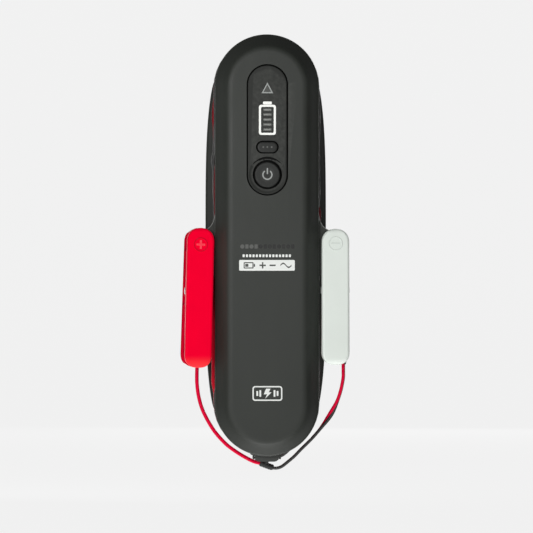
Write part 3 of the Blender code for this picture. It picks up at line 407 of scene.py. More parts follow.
def loft(name, rings, start_cap=True, closed=False):
    """A skin over rings of points; closed joins the last ring to the first."""
    count = len(rings[0])
    faces = []
    for i in range(len(rings) if closed else len(rings) - 1):
        a, b = i * count, ((i + 1) % len(rings)) * count
        for j in range(count):
            k = (j + 1) % count
            faces.append((a + j, a + k, b + k, b + j))
    if not closed:
        if start_cap:
            faces.append(tuple(range(count)))
        faces.append(tuple(range((len(rings) - 1) * count, len(rings) * count)))
    data = bpy.data.meshes.new(name)
    data.from_pydata([Vector(point) * MM for ring in rings for point in ring], [], faces)
    mesh = bmesh.new()
    mesh.from_mesh(data)
    bmesh.ops.remove_doubles(mesh, verts=mesh.verts, dist=1e-7)
    bmesh.ops.recalc_face_normals(mesh, faces=mesh.faces)
    mesh.to_mesh(data)
    mesh.free()
    return new_object(name, data)


def applied(obj):
    """Bakes the modifiers into the mesh; a curve becomes a mesh object of the same name."""
    bpy.context.view_layer.update()
    graph = bpy.context.evaluated_depsgraph_get()
    data = bpy.data.meshes.new_from_object(obj.evaluated_get(graph))
    obj.modifiers.clear()
    if obj.type == "MESH":
        obj.data = data
        return obj
    made = new_object(obj.name + "_m", data)
    made.matrix_world = obj.matrix_world
    name = obj.name
    bpy.data.objects.remove(obj)
    made.name = name
    return made


def smooth(obj, angle=32):
    obj.data.shade_smooth()
    obj.data.set_sharp_from_angle(angle=radians(angle))
    even = obj.modifiers.new("even", "WEIGHTED_NORMAL")
    even.keep_sharp, even.weight = True, 60
    return applied(obj)


def soften(obj, width, segments, angle):
    """Adds a bevel modifier."""
    soft = obj.modifiers.new("soft", "BEVEL")
    soft.width, soft.segments = width * MM, segments
    soft.limit_method, soft.angle_limit = "ANGLE", radians(angle)
    return soft


def bevel(obj, width, segments=3, angle=40):
    soft = soften(obj, width, segments, angle)
    soft.harden_normals = False
    soft.miter_outer = "MITER_ARC"
    return applied(obj)


def thicken(obj, thickness):
    """Gives an open shell a wall towards the inside."""
    wall = obj.modifiers.new("wall", "SOLIDIFY")
    wall.thickness, wall.offset, wall.use_even_offset = thickness * MM, -1, True
    applied(obj)


def boolean(obj, other, operation):
    modifier = obj.modifiers.new("b", "BOOLEAN")
    modifier.operation, modifier.solver, modifier.object = operation, "EXACT", other
    applied(obj)
    bpy.data.objects.remove(other)


def cut(obj, other):
    boolean(obj, other, "DIFFERENCE")


def join(obj, other):
    boolean(obj, other, "UNION")


# Outlines are lists of (x, z).
def stadium(half_w, straight=STRAIGHT, arc=40, side=2):
    """Two half circles joined by straight sides."""
    turns = [pi * i / arc for i in range(arc + 1)]
    head = [(half_w * cos(turn), straight + half_w * sin(turn)) for turn in turns]
    out = head + [(-half_w, straight - 2 * straight * i / side) for i in range(1, side)]
    out += [(-x, -z) for x, z in head]
    return out + [(half_w, -straight + 2 * straight * i / side) for i in range(1, side)]


def pill(half_w, half_h):
    return [(z, -x) for x, z in stadium(half_h, half_w - half_h, 24, 1)]


def rounded_box(half_w, half_h, radius, steps=8, cx=0.0, cz=0.0):
    out = []
    for sign_x, sign_z, start in ((1, 1, 0), (-1, 1, 90), (-1, -1, 180), (1, -1, 270)):
        for i in range(steps + 1):
            turn = radians(start + 90 * i / steps)
            out.append((cx + sign_x * (half_w - radius) + radius * cos(turn),
                        cz + sign_z * (half_h - radius) + radius * sin(turn)))
    return out


def circle(radius, count=48, cx=0.0, cz=0.0):
    turns = [2 * pi * i / count for i in range(count)]
    return [(cx + radius * cos(turn), cz + radius * sin(turn)) for turn in turns]


def cross(scale, cx, cz):
    """A plus sign."""
    out = [(-0.35, 1.5), (0.35, 1.5), (0.35, 0.35), (1.5, 0.35), (1.5, -0.35), (0.35, -0.35),
           (0.35, -1.5), (-0.35, -1.5), (-0.35, -0.35), (-1.5, -0.35), (-1.5, 0.35),
           (-0.35, 0.35)]
    return [(scale * x + cx, scale * z + cz) for x, z in out]


def at_y(outline, y, cz=0.0):
    return [(x, y, z + cz) for x, z in outline]


def prism(name, outline, start, end, axis="Y"):
    if axis == "X":
        return loft(name, [[(x, y, z) for y, z in outline] for x in (start, end)])
    return loft(name, [at_y(outline, y) for y in (start, end)])


def outline_ring(name, outer, inner, y0, y1):
    rings = [at_y(outer, y0), at_y(outer, y1), at_y(inner, y1), at_y(inner, y0)]
    return loft(name, rings, closed=True)


def block(name, low, high):
    (x0, y0, z0), (x1, y1, z1) = low, high
    return prism(name, [(x0, z0), (x1, z0), (x1, z1), (x0, z1)], y0, y1)


def soft_block(name, low, high, radius, segments=4):
    return smooth(bevel(block(name, low, high), radius, segments), 50)


def turned(name, profile, at, towards, steps=48):
    """Turns the profile (radius, height); its height runs along `towards` from `at`."""
    spin = Vector(towards).to_track_quat("Z", "Y")
    at = Vector(at)
    turns = [2 * pi * i / steps for i in range(steps)]
    rings = []
    for radius, height in profile:
        radius = max(radius, 0.001)
        points = [Vector((radius * cos(turn), radius * sin(turn), height)) for turn in turns]
        rings.append([tuple(at + spin @ point) for point in points])
    return loft(name, rings)


def rod(name, start, end, radius, steps=32):
    along = Vector(end) - Vector(start)
    return turned(name, [(radius, 0), (radius, along.length)], start, along, steps)


def smooth_path(points, per=6):
    """A Catmull-Rom curve through the points, with `per` steps between two of them."""
    first, last = [Vector(p) for p in points[:2]], [Vector(p) for p in points[-2:]]
    p = [first[0] * 2 - first[1]] + [Vector(q) for q in points] + [last[1] * 2 - last[0]]
    out = []
    for i in range(1, len(p) - 2):
        for j in range(per):
            t = j / per
            straight = 2 * p[i] + (p[i + 1] - p[i - 1]) * t
            square = (2 * p[i - 1] - 5 * p[i] + 4 * p[i + 1] - p[i + 2]) * t * t
            cube = (3 * p[i] - p[i - 1] - 3 * p[i + 1] + p[i + 2]) * t ** 3
            out.append(0.5 * (straight + square + cube))
    return [tuple(q) for q in out] + [tuple(points[-1])]


def fillet_run(stations, steps=5):
    """A polyline of (inset, y, corner radius) with its inner corners rounded."""
    points = [Vector(station[:2]) for station in stations]
    out = [points[0]]
    for i in range(1, len(points) - 1):
        corner = points[i]
        back, ahead = points[i - 1] - corner, points[i + 1] - corner
        reach = min(stations[i][2], back.length * 0.48, ahead.length * 0.48)
        start = corner + back.normalized() * reach
        end = corner + ahead.normalized() * reach
        for j in range(steps + 1):
            t = j / steps
            out.append((1 - t) ** 2 * start + 2 * t * (1 - t) * corner + t * t * end)
    return [tuple(point) for point in out + [points[-1]]]


def wire(name, points, radius, resolution=6):
    data = bpy.data.curves.new(name, "CURVE")
    data.dimensions = "3D"
    spline = data.splines.new("POLY")
    spline.points.add(len(points) - 1)
    for knot, point in zip(spline.points, points):
        knot.co = (*(Vector(point) * MM), 1)
    data.bevel_depth, data.bevel_resolution = radius * MM, resolution
    data.use_fill_caps = True
    data.twist_mode = "MINIMUM"
    obj = applied(new_object(name, data))
    mesh = bmesh.new()
    mesh.from_mesh(obj.data)
    bmesh.ops.remove_doubles(mesh, verts=mesh.verts, dist=1e-7)
    mesh.to_mesh(obj.data)
    mesh.free()
    return smooth(obj, 50)


# ------------------------------------------------------------------ handing pieces over
def dress(obj, material):
    obj.data.materials.clear()
    obj.data.materials.append(material)


def put(obj, material, *nodes, body="housing"):
    """A finished piece that rides on a body and may stand in for CAD nodes."""
    dress(obj, material)
    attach(obj, body)
    if nodes:
        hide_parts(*nodes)


def put_between(obj, material, bodies, start, end, *nodes):
    """A piece between two bodies, attached to neither: dressed, with its place baked into the
    mesh. start and end, in metres, are not used.
    """
    dress(obj, material)
    if nodes:
        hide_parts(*nodes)
    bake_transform(obj)


def metres(point):
    return tuple(Vector(point) * MM)


def printed(name, outline, depths, material, inner=None, body="housing"):
    """A thin mark on the front between two depths, solid or with an inner outline."""
    if inner:
        obj = outline_ring(name, outline, inner, *depths)
    else:
        obj = prism(name, outline, *depths)
    put(obj, material, body=body)


def refine(name, material, width=0.0):
    """A CAD node kept as it is, with a finished material and softened edges."""
    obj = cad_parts[name]
    for slot in obj.material_slots:
        slot.material = material
    if not obj.material_slots:
        obj.data.materials.append(material)
    if width:
        soften(obj, width, segments=2, angle=35).harden_normals = True


# ------------------------------------------------------------------ front cover
# inset from the widest outline, y, corner radius
COVER_SECTION = (
    (0, COVER_REAR_Y, 0), (0, -48.0, 0.3), (-0.35, -48.5, 0.3), (-0.35, -49.4, 0.35),
    (0.55, -50.1, 0.6), (2.9, -54.2, 2.2), (5.6, -58.7, 2.4), (8.2, -62.0, 1.7),
    (10.8, -62.95, 1.2), (14.0, FRONT_Y, 0),
)
# outline of the flat ear beside the cover: distance from the middle, z
EAR = (
    (34.4, 27), (35.5, 24.0), (36.1, 20.5), (37.0, 17.0), (38.5, 14.0), (40.4, 12.0),
    (42.6, 10.6), (46, 9.4), (49.2, 7.2), (50.4, 4), (50.4, -12), (49, -15), (46, -16.5),
    (41, -17.5), (37.5, -20), (34.4, -25),
)
# depth from the ear's mid plane, inset of the outline
EAR_LAYERS = ((-1.0, 0.45), (-0.8, 0.12), (-0.55, 0.0), (0.55, 0.0), (0.8, 0.12), (1.0, 0.45))
EAR_MID_Z = -1.0
THROUGH = (-66, -55)  # depths of a cutter that goes through the front


def cover_outline(half_w):
    return stadium(half_w, arc=56, side=30)


def ear_y(side, x, depth):
    """The ear turns with its clamp."""
    clamp = CLAMPS[CLAMP_AT_SIDE[side]]
    return CLAMP_Y + depth + (side * x - clamp.x) * tan(radians(clamp.turn))


section = fillet_run(COVER_SECTION)
rings = [at_y(cover_outline(COVER_HALF_W - inset), y) for inset, y in section]
shell = loft("front_shell", rings, start_cap=False)
thicken(shell, WALL)

ear_curve = [point[:2] for point in smooth_path([(x, z, 0) for x, z in EAR], 5)]
for side in (-1, 1):
    rings = []
    for depth, inset in EAR_LAYERS:
        rings.append([
            (side * (x - inset * (1 if x > 35.5 else 0)), ear_y(side, x, depth),
             z - inset * copysign(1, z - EAR_MID_Z))
            for x, z in ear_curve
        ])
    join(shell, loft("ear", rings))
for side in (-1, 1):
    # lugs that hold the cable keeper's pin
    lug = block("lug", (side * 9.1 - 0.78, -44.6, -148.4), (side * 9.1 + 0.78, -41.6, -142.6))
    join(shell, bevel(lug, 0.45))
opening = stadium(PANEL_HALF_W + PANEL_GAP, PANEL_STRAIGHT, 40)
cut(shell, loft("opening", [at_y(opening, y, cz=PANEL_Z) for y in THROUGH]))
bevel(shell, 0.28, 3, 55)
put(smooth(shell, 30), CHARCOAL, "front_cover")

# ledge behind the panel, in painted shadow: half width, y
LEDGE = ((17.4, -60.55), (17.4, -58.4), (12.4, -58.4), (12.4, -60.1), (14.6, -60.1),
         (14.6, -60.55))
rings = [at_y(stadium(half_w, PANEL_STRAIGHT, 40), y, cz=PANEL_Z) for half_w, y in LEDGE]
put(smooth(loft("panel_seat", rings, closed=True)), PAINTED_SHADOW)

# beads along the cover's rim and the ears' edges, in a painted highlight
BEAD_R, BEAD_Y = 0.3, -48.75
rings = []
for i in range(12):
    turn = 2 * pi * i / 12
    outline = cover_outline(COVER_HALF_W + 0.12 + BEAD_R * cos(turn))
    rings.append(at_y(outline, BEAD_Y + BEAD_R * sin(turn)))
put(smooth(loft("cover_rim_bead", rings, closed=True), 60), RIM_HIGHLIGHT)
for side, name in ((-1, "ear_bead_left"), (1, "ear_bead_right")):
    line = [
        (side * (x - 0.1), ear_y(side, x, -0.85), z - 0.05)
        for x, z in ear_curve if z > 8.9 and x < 48
    ]
    put(wire(name, line, BEAD_R, 2), RIM_HIGHLIGHT)

# ------------------------------------------------------------------ control panel
TRIANGLE = ((-3.8, 105.0), (3.8, 105.0), (0.0, 112.1))
TRIANGLE_MID_Z = 107.4
CRESCENT_R, CRESCENT_DEPTH = 12.35, 1.5


def triangle(scale):
    return [(x * scale, TRIANGLE_MID_Z + (z - TRIANGLE_MID_Z) * scale) for x, z in TRIANGLE]


def polar(radius, angle, cz=POWER_Z):
    return (radius * cos(angle), cz + radius * sin(angle))


def shade_gap(obj, sunk):
    """Sunk faces take the gap material, a painted shadow."""
    obj.data.materials.append(PAINTED_SHADOW)
    for face in obj.data.polygons:
        if sunk(face):
            face.material_index = 1


def plate_sunk(face):
    """Faces in painted shadow: the upper rim of the dish, the wall of the power hole and the
    crescent's floor.
    """
    x, y, z = (value / MM for value in face.center)
    radius = hypot(x, z - POWER_Z)
    rim = 10.6 < radius < 12.8 and z > POWER_Z + 5.5
    hole_wall = radius < 10.2 and abs(face.normal.y) < 0.5
    floor = y > -61.8 and abs(x) < 3 and POWER_Z + 6 < z < POWER_Z + 12
    return y > -62.62 and (rim or hole_wall or floor)


stations = [(0, -60.4), (0, -62.3)]  # inset, y
for degrees in (0, 22, 45, 68, 90):
    turn = radians(degrees)
    stations.append((0.65 - 0.65 * cos(turn), -62.35 - 0.65 * sin(turn)))
plate = loft("panel_plate", [
    at_y(stadium(PANEL_HALF_W - inset, PANEL_STRAIGHT, 48), y, cz=PANEL_Z)
    for inset, y in stations
])
# a shallow dish round the power button, with a deeper crescent along its top
dish = [(12.9, 2.2), (12.9, 0.02), (12.2, -0.2), (11.0, -0.42), (0, -0.45)]
cut(plate, turned("dish", dish, (0, FRONT_Y, POWER_Z), (0, -1, 0), 96))
sweep = [radians(90 + 58 * (1 - 2 * i / 40)) for i in range(41)]
crescent = [polar(CRESCENT_R, angle) for angle in sweep]
for angle in reversed(sweep[1:-1]):
    dip = CRESCENT_DEPTH * cos((angle - pi / 2) / (sweep[-1] - sweep[0]) * pi)
    crescent.append(polar(CRESCENT_R - dip, angle))
cut(plate, prism("crescent", crescent, -66, -61.6))
cut(plate, prism("power_hole", circle(POWER_HOLE_R, 96, cz=POWER_Z), *THROUGH))
outline = pill(SET_HALF_W + SET_GAP, SET_HALF_H + SET_GAP)
cut(plate, loft("set_hole", [at_y(outline, y, cz=SET_Z) for y in THROUGH]))
for z in BARS_Z:
    cut(plate, block("bar_hole", (-3.0, THROUGH[0], z - 0.85), (3.0, THROUGH[1], z + 0.85)))
cut(plate, prism("fault_hole", triangle(1.1), *THROUGH))
bevel(plate, 0.16, 2, 40)
put(smooth(plate, 8), PANEL, "control_panel")
shade_gap(plate, plate_sunk)


def stem(name, y, z, length, body):
    """The pin behind a button."""
    profile = [(2.0, 0), (2.0, length - 0.2), (1.7, length), (0, length)]
    put(smooth(turned(name, profile, (0, y, z), (0, 1, 0), 32)), BUTTON, body=body)


profile = [(2, -0.9), (10.9, -0.9), (10.9, 0), (POWER_R, 0), (POWER_R, 1.2)]
for degrees in (90, 70, 50, 30, 12, 0):
    turn = radians(degrees)
    profile.append((POWER_R - 0.9 + 0.9 * sin(turn), 2.3 + 0.75 * cos(turn)))
profile += [(POWER_R - 2.6, 3.0), (POWER_R - 5.4, 2.86), (0, 2.78)]
power_cap = turned("power_cap", profile, (0, -60.1, POWER_Z), (0, -1, 0), 96)
put(smooth(power_cap, 35), BUTTON, "power_button", body="power_button")
# the sunk flange round the power cap takes the painted shadow
shade_gap(power_cap, lambda face: face.center.y > -62.2 * MM)
stem("power_cap_stem", -59.6, POWER_Z, 2.1, "power_button")

# growth of the outline, y
SET_STATIONS = ((1.5, -59.2), (1.5, -60.1), (0, -60.1), (0, -62.5), (-0.1, -62.95),
                (-0.35, -63.2), (-0.8, -63.33), (-1.6, -63.38))
set_cap = loft("set_cap", [
    at_y(pill(SET_HALF_W + grow, SET_HALF_H + grow), y, cz=SET_Z) for grow, y in SET_STATIONS
])
put(smooth(set_cap, 35), BUTTON, "set_button", body="set_button")
# the set button's sunk edge takes the painted shadow
shade_gap(set_cap, lambda face: face.center.y > -62.3 * MM)
stem("set_cap_stem", -59.4, SET_Z, 1.8, "set_button")

# ------------------------------------------------------------------ lights and symbols
# front and rear depths of the layers of print
PANEL_INK_Y = (-63.035, -62.9)
LIGHT_Y = (-63.06, -58.6)
POWER_INK_Y = (-63.02, -62.6)
COVER_INK_Y = (-63.045, -62.9)
OVERPRINT_Y = (-63.075, -62.95)
GAUGE_Z = 86.5

# warning triangle
fault = bevel(prism("fault_lens", triangle(0.98), -63.02, LIGHT_Y[1]), 0.3)
put(smooth(fault), SMOKED, "fault_light_guide")
printed("print_fault_outline", triangle(1.06), (-63.06, -62.9), INK_GREY, triangle(0.72))
# battery gauge: outline, cap and five bars
printed("print_gauge_body", rounded_box(5.85, 10.4, 1.6, cz=GAUGE_Z), PANEL_INK_Y, INK_BRIGHT,
        rounded_box(4.4, 8.95, 0.9, cz=GAUGE_Z))
printed("print_gauge_cap", rounded_box(3.05, 1.0, 0.6, 6, cz=98.1), PANEL_INK_Y, INK_BRIGHT)
for i, z in enumerate(BARS_Z, 1):
    bar = prism(f"gauge_bar_{i}", rounded_box(2.65, 0.66, 0.28, 4, cz=z), *LIGHT_Y)
    put(smooth(bevel(bar, 0.12, 2)), LENS, f"charge_light_guide_{i}")
# three dots on the set button
for i, x in enumerate((-2.9, 0.0, 2.9), 1):
    dot = circle(0.62, 20, x, SET_Z)
    printed(f"print_set_dot_{i}", dot, (-63.41, -63.3), INK_DIM, body="set_button")
# power symbol: an open ring and a bar
sweep = [radians(90 + 36 + (360 - 72) * i / 40) for i in range(41)]
outline = [polar(3.55, angle, POWER_Z - 0.1) for angle in sweep]
outline += [polar(2.68, angle, POWER_Z - 0.1) for angle in reversed(sweep)]
printed("print_power_ring", outline, POWER_INK_Y, INK_GREY, body="power_button")
outline = rounded_box(0.44, 2.2, 0.3, 4, cz=POWER_Z + 2.55)
printed("print_power_bar", outline, POWER_INK_Y, INK_GREY, body="power_button")

# rows of plain marks on the front cover
DIM_COUNT, DIM_Z = 12, -0.9
for i in range(DIM_COUNT):
    x = -17.3 + 34.8 * i / (DIM_COUNT - 1)
    shape = rounded_box(1.1, 1.45, 0.4, 4, x, DIM_Z) if i % 2 else circle(1.45, 28, x, DIM_Z)
    printed(f"print_dim_{i + 1}", shape, COVER_INK_Y, INK_DIM if i < 4 else GLOSS)
SMALL_COUNT = 15
for i in range(SMALL_COUNT):
    x = -16.4 + 31.9 * i / (SMALL_COUNT - 1)
    shape = rounded_box(0.72, 0.95, 0.3, 3, x, -7.3)
    printed(f"print_small_{i + 1}", shape, COVER_INK_Y, INK_WHITE)

# white bar with dark signs on it
BAR_Z = -13.9
printed("print_white_bar", rounded_box(19.2, 3.7, 0.8, 6, -0.3, BAR_Z), COVER_INK_Y, INK_WHITE)
printed("print_bar_battery", rounded_box(3.4, 2.2, 0.5, 4, -13.0, BAR_Z), OVERPRINT_Y, INK_DARK,
        rounded_box(2.7, 1.5, 0.2, 4, -13.0, BAR_Z))
wave = [(9.0 + 7.6 * i / 36, BAR_Z + 1.35 * sin(2 * pi * i / 36)) for i in range(37)]
for name, outline in (
    ("battery_cap", rounded_box(0.45, 1.0, 0.15, 3, -9.0, BAR_Z)),
    ("charge", rounded_box(1.1, 1.0, 0.15, 3, -14.2, BAR_Z)),
    ("plus", cross(1.45, -3.3, BAR_Z)),
    ("minus", rounded_box(2.1, 0.5, 0.15, 3, 3.6, BAR_Z)),
    ("wave", [(x, z + 0.5) for x, z in wave] + [(x, z - 0.5) for x, z in reversed(wave)]),
):
    printed("print_bar_" + name, outline, OVERPRINT_Y, INK_DARK)

# badge near the foot: a frame, a bolt and two bars on either side
BADGE_Z = -102.3
BOLT = ((-0.9, 3.3), (2.2, 3.3), (0.9, 0.8), (2.9, 0.8), (-1.5, -3.5), (-0.2, -0.6),
        (-2.5, -0.6))
printed("print_badge_outline", rounded_box(10.3, 5.1, 1.8, cz=BADGE_Z), COVER_INK_Y, INK_WHITE,
        rounded_box(9.4, 4.2, 1.1, cz=BADGE_Z))
printed("print_badge_bolt", [(x, z + BADGE_Z) for x, z in BOLT], COVER_INK_Y, INK_WHITE)
for i, side in enumerate((-1, 1)):
    for j in range(2):
        outline = rounded_box(0.62, 2.3 - 0.6 * j, 0.3, 3, side * (4.9 + 2.1 * j), BADGE_Z)
        printed(f"print_badge_bar_{2 * i + j + 1}", outline, COVER_INK_Y, INK_WHITE)

# ------------------------------------------------------------------ rear cover
# inset, y, corner radius
REAR_SECTION = ((1.4, REAR_FRONT_Y, 0), (0, -15.5, 1.2), (0, -7.0, 2.5), (0.9, -3.4, 2.0),
                (3.2, -0.9, 2.0), (6.5, 0.0, 0))


def bulged(half_w, share=1.0):
    """The rear cover's outline, with swollen sides."""
    out = []
    for x, z in stadium(half_w, arc=40, side=48):
        swell = 0.0
        if abs(z) < REAR_BULGE_Z:
            swell = REAR_BULGE * share * (1 - abs(z / REAR_BULGE_Z) ** 4) ** 0.75
        out.append((x + copysign(swell, x) * min(1.0, abs(x) / 20), z))
    return out


rings = [at_y(stadium(SPOOL_OUT + 0.3, arc=40, side=48), REAR_FRONT_Y),
         at_y(bulged(REAR_HALF_W - 3.0, 0.95), REAR_FRONT_Y)]
rings += [at_y(bulged(REAR_HALF_W - inset), y) for inset, y in fillet_run(REAR_SECTION)]
rings.append(at_y(bulged(REAR_HALF_W - 9.0), 0.0))
rear = loft("rear_shell", rings, start_cap=False)
thicken(rear, REAR_WALL)
# walls round the plug's pocket, the cable channel below it and the screw bosses
join(rear, block("pocket", (-19.8, -17.6, -118), (19.8, -0.6, -60)))
join(rear, block("channel", (-6.3, -11.0, -143.6), (6.3, -0.9, -115.2)))
for x, z in SCREWS:
    join(rear, prism("boss", circle(4.2, 32, x, z), -11.0, -0.8))
cut(rear, block("channel_in", (-4.5, -20.3, -151.3), (4.5, 3.1, -113.7)))
cut(rear, prism("pocket_in", rounded_box(18.0, 27.0, 3.0, 6, cz=-89), -15.6, 2))
for x, z in SCREWS:
    cut(rear, prism("bore", circle(1.8, 24, x, z), -13, -3))
    cut(rear, prism("seat", circle(3.1, 32, x, z), -5.0, 2))
bevel(rear, 0.35, 3, 60)
put(smooth(rear, 30), CHARCOAL_REAR, "rear_cover")
# a raised frame and a group of ribs on the back
bead = outline_ring("back_panel_bead", rounded_box(24, 42, 5, 10, cz=36),
                    rounded_box(23.2, 41.2, 4.4, 10, cz=36), 0.25, -0.3)
put(smooth(bead), CHARCOAL_REAR)
for i in range(7):
    outline = rounded_box(20 - abs(i - 3) * 1.2, 0.55, 0.5, 5, cz=-22 - i * 4.6)
    rib = bevel(prism(f"back_rib_{i + 1}", outline, 0.45, -0.4), 0.25, 2)
    put(smooth(rib), CHARCOAL_REAR)

# ------------------------------------------------------------------ windings
MAINS_R, MAINS_TRACK_R, MAINS_PITCH, MAINS_FIRST_Y = 2.6, 29.0, 5.7, -31.6
# the pair's wires: radius, half their spacing, track radius at the sides and ends, pitch
WIRE_R, WIRE_APART, WIRE_SIDE, WIRE_END, WIRE_PITCH = 1.3, 1.42, 35.4, 33.9, 6.1
WIRE_FIRST_Y = -37.6
# degrees round an end, dense where the turns cross over to the next layer
CROSSING = (0, 3, 6.5, 10, 13, 17, 21, 28, 36, 45, 53, 62, 71, 80)
PLAIN = (0, 9, 18, 27, 36, 45, 54, 63, 72, 81)
SIDE_STEPS = tuple(i / 64 for i in range(64))


def one_lap(bottom, top, sides):
    """Stations (stretch, share of it): bottom left, left, top left, top right, right..."""
    lap = [("BL", d / 90) for d in bottom] + [("L", share) for share in sides]
    lap += [("TL", (90 - d) / 90) for d in (90, *top[:0:-1])] + [("TR", d / 90) for d in top]
    lap += [("R", share) for share in sides]
    return lap + [("BR", (90 - d) / 90) for d in (90, *bottom[:0:-1])]


def on_track(where, share, side_r, end_r):
    """The point (x, z) of a station and its outward direction."""
    if where == "L":
        return (-side_r, -STRAIGHT + 2 * STRAIGHT * share), (-1, 0)
    if where == "R":
        return (side_r, STRAIGHT - 2 * STRAIGHT * share), (1, 0)
    angle = share * pi / 2
    s, c = sin(angle), cos(angle)
    out = {"BL": (-s, -c), "TL": (-c, s), "TR": (s, c), "BR": (c, -s)}[where]
    radius = end_r + (side_r - end_r) * out[0] ** 2
    middle = copysign(STRAIGHT, 1 if where[0] == "T" else -1)
    return (radius * out[0], middle + radius * out[1]), out


def crossed(x):
    """How far a turn has moved over to the next layer."""
    return ease((11 - x) / 18)


def mains_points():
    """From the top down the right, then two whole laps that cross over at the top."""
    lap = one_lap(PLAIN, CROSSING, (0, 0.25, 0.5, 0.75))
    top = lap.index(("TR", 0.0))
    first = len(lap) - top
    out = []
    for i, (where, share) in enumerate(lap[top:] + lap + lap):
        (x, z), _ = on_track(where, share, MAINS_TRACK_R, MAINS_TRACK_R)
        y = MAINS_FIRST_Y
        if i >= first:
            layer, j = divmod(i - first, len(lap))
            y += MAINS_PITCH * (layer + (1 if j >= top else 0))
            if where == "TL":
                y += MAINS_PITCH * crossed(-x)
            if where == "TR":
                y -= MAINS_PITCH * (1 - crossed(-x))
        out.append((x, y, z))
    out = [point for i, point in enumerate(out) if not (i < 8 and point[0] < 12)]
    last = max(i for i, (x, _, z) in enumerate(out) if x > 14 and z < -STRAIGHT)
    return out[: last + 1]


# the free end: round the foot, back through the channel and up into the plug
MAINS_TAIL = [
    (11.5, -20.2, -136.7), (6.5, -20.2, -138.4), (2.9, -19.7, -139.1), (0.8, -17.6, -139.4),
    (0, -13.4, -139.5), (0, -9.7, -138.7), (0, -7.9, -136.2), (0, -7.4, -132.5),
    (0, -7.4, -126), (0, -7.4, -120.2),
]
mains = mains_points()
tail = smooth_path(mains[-3:] + MAINS_TAIL, 5)[10:]
put(wire("mains_winding", mains + [tail[1]], MAINS_R), MAINS_JACKET, "mains_cable")
put_between(wire("mains_tail", tail, MAINS_R * 0.995), MAINS_JACKET, ("housing", "mains_plug"),
            (0, -0.0100, -0.1395), (0, -0.0074, -0.1215))

# how the pair is twisted, as (z, degrees): 0 puts the red strand in front, 90 outermost,
# -90 innermost
LEFT_TWIST = ((-104, 180), (-90, 66), (-42, 74), (-6, -8), (52, -10), (66, -172), (80, -180),
              (88, -203), (96, -199), (103, -180))
RIGHT_TWIST = ((-110, 180), (14, 190), (18.5, 112), (23.5, 112), (28, 190), (110, 180))


def eased_along(z, marks):
    """A value that eases from mark to mark, each (z, value)."""
    for (z0, value0), (z1, value1) in zip(marks, marks[1:]):
        if z <= z1:
            return value0 + (value1 - value0) * ease((z - z0) / (z1 - z0))
    return marks[-1][1]


def pair_points(sign):
    """One strand of the pair: 1 is red, -1 black. The turns cross over at the bottom."""
    twists = {"L": LEFT_TWIST, "R": RIGHT_TWIST}
    out = []
    for layer in range(3):
        for where, share in one_lap(CROSSING, PLAIN, SIDE_STEPS):
            (x, z), outward = on_track(where, share, WIRE_SIDE, WIRE_END)
            if layer == 0 and where == "BL" and x > -12 or layer == 2 and where == "BR" and x < 17:
                continue
            y = WIRE_FIRST_Y + WIRE_PITCH * layer
            if where == "BL" and layer:
                y -= WIRE_PITCH * (1 - crossed(x))
            if where == "BR" and layer < 2:
                y += WIRE_PITCH * crossed(x)
            turn = 180
            if where in twists:
                fade = ease(min(z + 110, 110 - z) / 20)
                turn = eased_along(z, twists[where])
                seed = 5.0 * layer + (2.0 if where == "R" else 0.0)
                turn += fade * 13 * noise.noise(Vector((z * 0.03, seed, 1.7)))
                # a slow in-and-out wander along the sides
                wander = noise.noise(Vector((z * 0.021 + 7.3 * layer, 3.1 * layer, 0.5)))
                lift = 0.5 * ease((z - 22) / 20) if z > 22 else 0.0
                x += fade * (0.45 * wander + lift) * outward[0]
            turn = radians(turn)
            out.append((x + sign * WIRE_APART * sin(turn) * outward[0],
                        y - sign * WIRE_APART * cos(turn),
                        z + sign * WIRE_APART * sin(turn) * outward[1]))
    last = WIRE_FIRST_Y + 2 * WIRE_PITCH + sign * WIRE_APART
    joint = JOINT_Y + 0.9 * (last - JOINT_Y) / WIRE_APART
    end = [(12.4, last, -145.2), (8.0, last, -147.0), (4.0, last, -147.3), (1.6, last, -148.4),
           (0.5, joint, -150.4), (0.2, joint, -152.4)]
    return out + smooth_path(out[-2:] + end, 5)[6:]


put(wire("pair_red", pair_points(1), WIRE_R, 5), RED_PAIR_SHADED, "charging_wire_red")
put(wire("pair_black", pair_points(-1), WIRE_R, 5), BLACK_JACKET, "charging_wire_black")

for name, low, high, node in (
    ("mains_grommet", (7.0, -34.0, 135.6), (11.4, -29.4, 140.6), "mains_cable_grommet"),
    ("pair_grommet", (-11.4, -40.6, -145.6), (-6.8, -34.9, -135.6), "charging_wire_grommet"),
):
    put(soft_block(name, low, high, 1.2), RUBBER, node)

# ribbed joint where the leads part
joint_start, joint_end = Vector((-4.3, JOINT_Y, -151.6)), Vector((5.0, JOINT_Y, -155.1))
joint_axis = joint_end - joint_start
span = joint_axis.length
profile = [(0, 0), (1.5, 0.0), (2.0, 0.35), (2.2, 0.9)]
for i in range(4):
    h = 1.4 + i * (span - 2.8) / 4
    profile += [(2.2, h), (2.2, h + 0.8), (1.95, h + 0.95), (1.95, h + 1.25), (2.2, h + 1.35)]
profile += [(2.2, span - 0.9), (2.0, span - 0.35), (1.5, span), (0, span)]
joint = turned("lead_joint", profile, joint_start, joint_axis, 40)
put(smooth(joint, 35), RUBBER, "lead_splitter")

# ------------------------------------------------------------------ clamps
# Each clamp is built upright round its pivot, front lever at -Y, and then put in place.
LEVER_SLOPE = 0.084  # the levers' outer faces spread downwards
HANDLE_SPREAD = radians(12.0)
LEVER_WALL, LUG_R = 1.9, 4.4
MOUTH_Z = 32.4  # the round cut-out between the levers; the marks sit level with it
LEAD_Y = 15.4
# front lever, rear lever, mark's ring, mark's sign
CLAMP_MATERIALS = {
    "positive_clamp": (RED, RED_REAR_SHADED, RED_DEEP, RED_PALE),
    "negative_clamp": (WHITE, WHITE, WHITE_MARK, WHITE_MARK),
}


